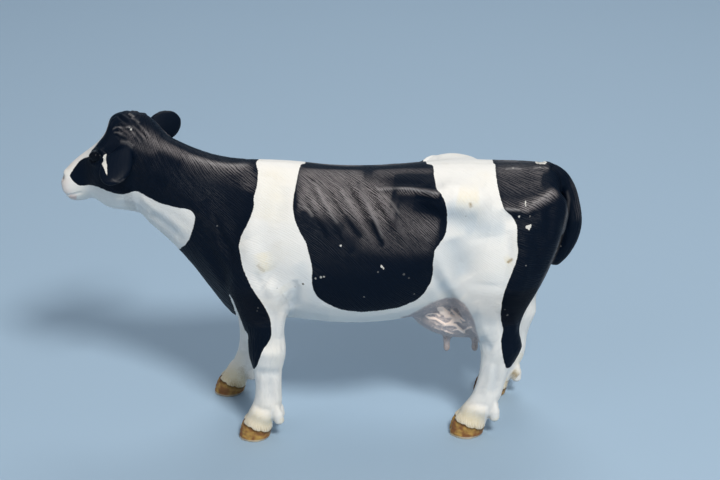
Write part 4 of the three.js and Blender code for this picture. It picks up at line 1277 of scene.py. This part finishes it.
def painted(name):
    """White and black paint on moulded hair, with hooves, wear and dry brushing, and with painted sheen,
    highlights and shade.
    """
    t = Tree(name)
    place = t.place()
    lie = t.attribute("coat", "Vector")
    across = t.node("SeparateXYZ", [lie]).outputs[0]
    sway = t.mul(t.noise(t.stretch(lie, 0.45, 0.14, 1.0), 1.0, 2.0, 0.5), 1.6)
    stray = t.mul(t.noise(t.stretch(lie, 1.5, 0.42, 1.0), 1.0, 1.0, 0.5), 0.42)
    phase = t.mul(t.math("ADD", across, t.math("ADD", sway, stray)), STRAND)
    curl = t.mul(t.noise(place, 0.27, 1.0, 0.3), 42.0)
    phase = t.mad(curl, t.mul(t.attribute("poll"), 0.35), phase)
    edge = t.attribute("hoof")
    wave = t.mad(t.math("SINE", phase), t.mul(t.step(edge, 3.0, 8.0), 0.5), 0.5)
    broken = t.noise(t.stretch(lie, 1.3, 0.35, 1.0), 1.0, 3.0, 0.6)
    fine = t.noise(t.stretch(lie, 4.5, 0.5, 1.0), 1.0, 2.0, 0.6)
    strand = t.mad(fine, 0.42, t.mad(wave, 0.36, t.mul(broken, 0.47)))
    hairy = t.attribute("hairy")
    grain = t.noise(place, 3.2, 4.0, 0.6)
    curve = t.attribute("curve")
    jag = t.less(t.mad(t.noise(place, 0.9, 2.0), 0.3, t.mul(strand, 0.2)), 0.27)
    ragged = t.math("ADD", jag, t.attribute("black"))
    on_black = t.less(1.0, t.step(ragged, -0.06, 0.06))

    # black, dry brushed, with painted sheen on raised and lit hair and painted highlights along edges
    brush_and_sheen = t.attribute("brush_and_sheen")
    lit = t.mad(brush_and_sheen, 0.06, t.mad(curve, 0.12, strand))
    lit = t.mad(t.less(grain, 0.5), 0.8, lit)
    catch = t.step(brush_and_sheen, -0.03, 0.92)
    # black paint, tinted navy by a painted reflection of a blue cloth
    black = t.mix(catch, "black and painted blue reflection", "brushed black and sheen")
    black = t.mix(t.mul(t.step(lit, 0.48, 0.81), catch), black, "brushed grey and sheen")
    # painted highlights along edges, broken by the strands
    glint = t.mul(t.attribute("glint"), t.step(strand, 0.25, 0.62))
    black = t.mix(glint, black, "glint", 0.8)

    # white, with painted shade in hollows and in the grooves of the hair, yellowed and stained
    shade = t.clamp(t.mad(curve, -0.20, 0.04))
    white = t.mix(shade, "white", "shade")
    white = t.mix(t.step(t.noise(place, 0.14, 3.0, 0.5), 0.5, 0.75), white, "cream", 0.2)
    # painted shade in the grooves between the hair strands
    white = t.mix(t.step(strand, 0.54, 0.34), white, "hair groove shade", t.mul(hairy, 0.15))
    # painted shade: a cool blue-grey laid on the white where hollows and folds lie in shadow
    white = t.mix(t.attribute("painted_shade"), white, "painted cool shade", 0.42)
    stain = t.mul(t.attribute("yellow"), t.mad(grain, 1.1, -0.1))
    white = t.mix(t.clamp(t.mul(stain, 1.1)), white, "yellowed")
    white = t.mix(t.attribute("pink"), white, "pink", 0.6)
    white = t.mix(spots(t, place, DARK_SPOTS), white, "dark spot")

    # ochre fringe over the hooves with painted shade between its tufts, and brown dirt with painted shadow
    # behind the near hind leg
    legs = t.math("LESS_THAN", edge, 8.5)
    low = t.mul(t.step(edge, 7.8, 1.0), legs)
    white = t.mix(t.mul(low, t.mad(grain, 0.9, 0.3)), white, "ochre", 0.6)
    # painted shade in the grooves between the tufts over the hoof
    tuft_shade = t.mul(t.step(fine, 0.6, 0.4), t.mul(t.step(edge, 2.4, 0.2), legs))
    white = t.mix(tuft_shade, white, "tuft_shade", 0.4)
    brown = t.attribute("brown")
    white = t.mix(t.step(t.mad(grain, 0.6, brown), 0.32, 1.3), white, "dirt and shadow")

    # black and white together, with worn places in the black and two painted highlights on the poll
    broad = t.mad(t.less(t.noise(place, 2.2, 3.0), 0.5), 0.5, t.attribute("wear"))
    chip_and_glint = t.math("MAXIMUM", spots(t, place, CHIPS_AND_GLINTS), t.step(broad, 0.06, -0.06))
    bare_and_glint = t.mix(grain, "bare and glint grey", "bare and glint cream")
    color = t.mix(t.mul(chip_and_glint, on_black), t.mix(on_black, white, black), bare_and_glint)

    # hooves, udder, nostrils and eyes
    on_hoof = t.step(t.mad(t.less(strand, 0.62), 0.5, edge), 0.1, -0.1)
    color = t.mix(on_hoof, color, hoof_color(t, place, edge, grain, brown))
    bag = t.mad(t.less(t.noise(place, 0.8, 3.0), 0.5), 0.5, t.attribute("bag"))
    color = t.mix(t.step(bag, 0.35, -0.25), color, udder_color(t, place, curve, grain))
    color = t.mix(t.attribute("nostril"), color, "nostril", 0.85)
    eye = t.attribute("eye")
    color = t.mix(eye, color, "eye")

    rough = t.mad(grain, 0.16, t.mad(on_hoof, -0.08, 0.36))
    rough = t.mul(rough, t.mad(eye, -0.6, 1.0))
    height = t.mad(wave, 0.35, t.mad(broken, 0.4, t.mul(fine, 0.5)))
    height = t.mul(height, t.mul(hairy, t.mad(on_black, 0.6, 0.4)))
    return t.finish(color, rough, t.mad(grain, 0.12, height), 0.00018, 0.09)


def udder_material():
    t = Tree("udder_paint")
    place = t.place()
    grain = t.noise(place, 2.2, 4.0, 0.6)
    color = udder_color(t, place, t.attribute("curve"), grain)
    return t.finish(color, t.mad(grain, 0.18, 0.36), grain, 0.00012, 0.4)


materials = {slot: painted(slot) for slot in sorted(set(SLOTS.values()) - {"udder_paint"})}
materials["udder_paint"] = udder_material()
for name in NODES:
    piece = make_piece(name)
    piece.data.materials.append(materials[SLOTS[name]])
    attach(piece, "root")
    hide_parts(name)


# Floor, light and camera

def floor():
    """A sheet of paper that curves up behind the figure."""
    profile = [(-0.9, 0.0), (0.55, 0.0)]
    for i in range(1, 13):
        angle = math.pi / 2 * i / 12
        profile.append((0.55 + 0.35 * math.sin(angle), 0.35 * (1 - math.cos(angle))))
    profile.append((0.9, 1.6))
    vertices = [(x, y, z) for y, z in profile for x in (-1.6, 1.6)]
    quads = [(2 * i, 2 * i + 1, 2 * i + 3, 2 * i + 2) for i in range(len(profile) - 1)]
    mesh = bpy.data.meshes.new("floor")
    mesh.from_pydata(vertices, [], quads)
    mesh.polygons.foreach_set("use_smooth", [True] * len(quads))
    mesh.materials.append(Tree("floor_paper").finish((0.34, 0.46, 0.58, 1), 0.8))
    obj = placed("floor", mesh)


def lamp(name, place, up, size, power, color):
    """A round lamp that shines at a point above the middle of the ground."""
    data = bpy.data.lights.new(name, "AREA")
    data.shape = "DISK"
    data.size = size
    data.energy = power
    data.color = color
    obj = placed(name, data)
    obj.location = place
    obj.rotation_euler = (Vector((0, 0, up)) - Vector(place)).to_track_quat("-Z", "Y").to_euler()


floor()
lamp("key", (0.24, -0.59, 0.75), 0.04, 0.22, 7.3, (1.0, 0.98, 0.94))
lamp("fill", (-0.65, -0.65, 0.6), 0.04, 0.6, 0.9, (0.97, 0.98, 1.0))
lamp("back", (0.1, 0.5, 0.8), 0.05, 0.5, 2.4, (1.0, 0.99, 0.97))

scene = bpy.context.scene
scene.world = bpy.data.worlds.new("studio")
scene.world.use_nodes = True
sky = scene.world.node_tree.nodes["Background"]
sky.inputs[0].default_value = (0.88, 0.93, 1.0, 1)
sky.inputs[1].default_value = 0.27
scene.view_settings.view_transform = "Standard"

camera = bpy.data.cameras.new("camera")
camera.sensor_width = 36
camera.lens = 36 * FOCAL / (2 * MIDDLE_X)
camera.clip_start = 0.01
scene.camera = placed("camera", camera)
scene.camera.location = tuple(CAMERA_AT / 1000)
scene.camera.rotation_euler = (math.pi / 2 - RISE, 0, 0)
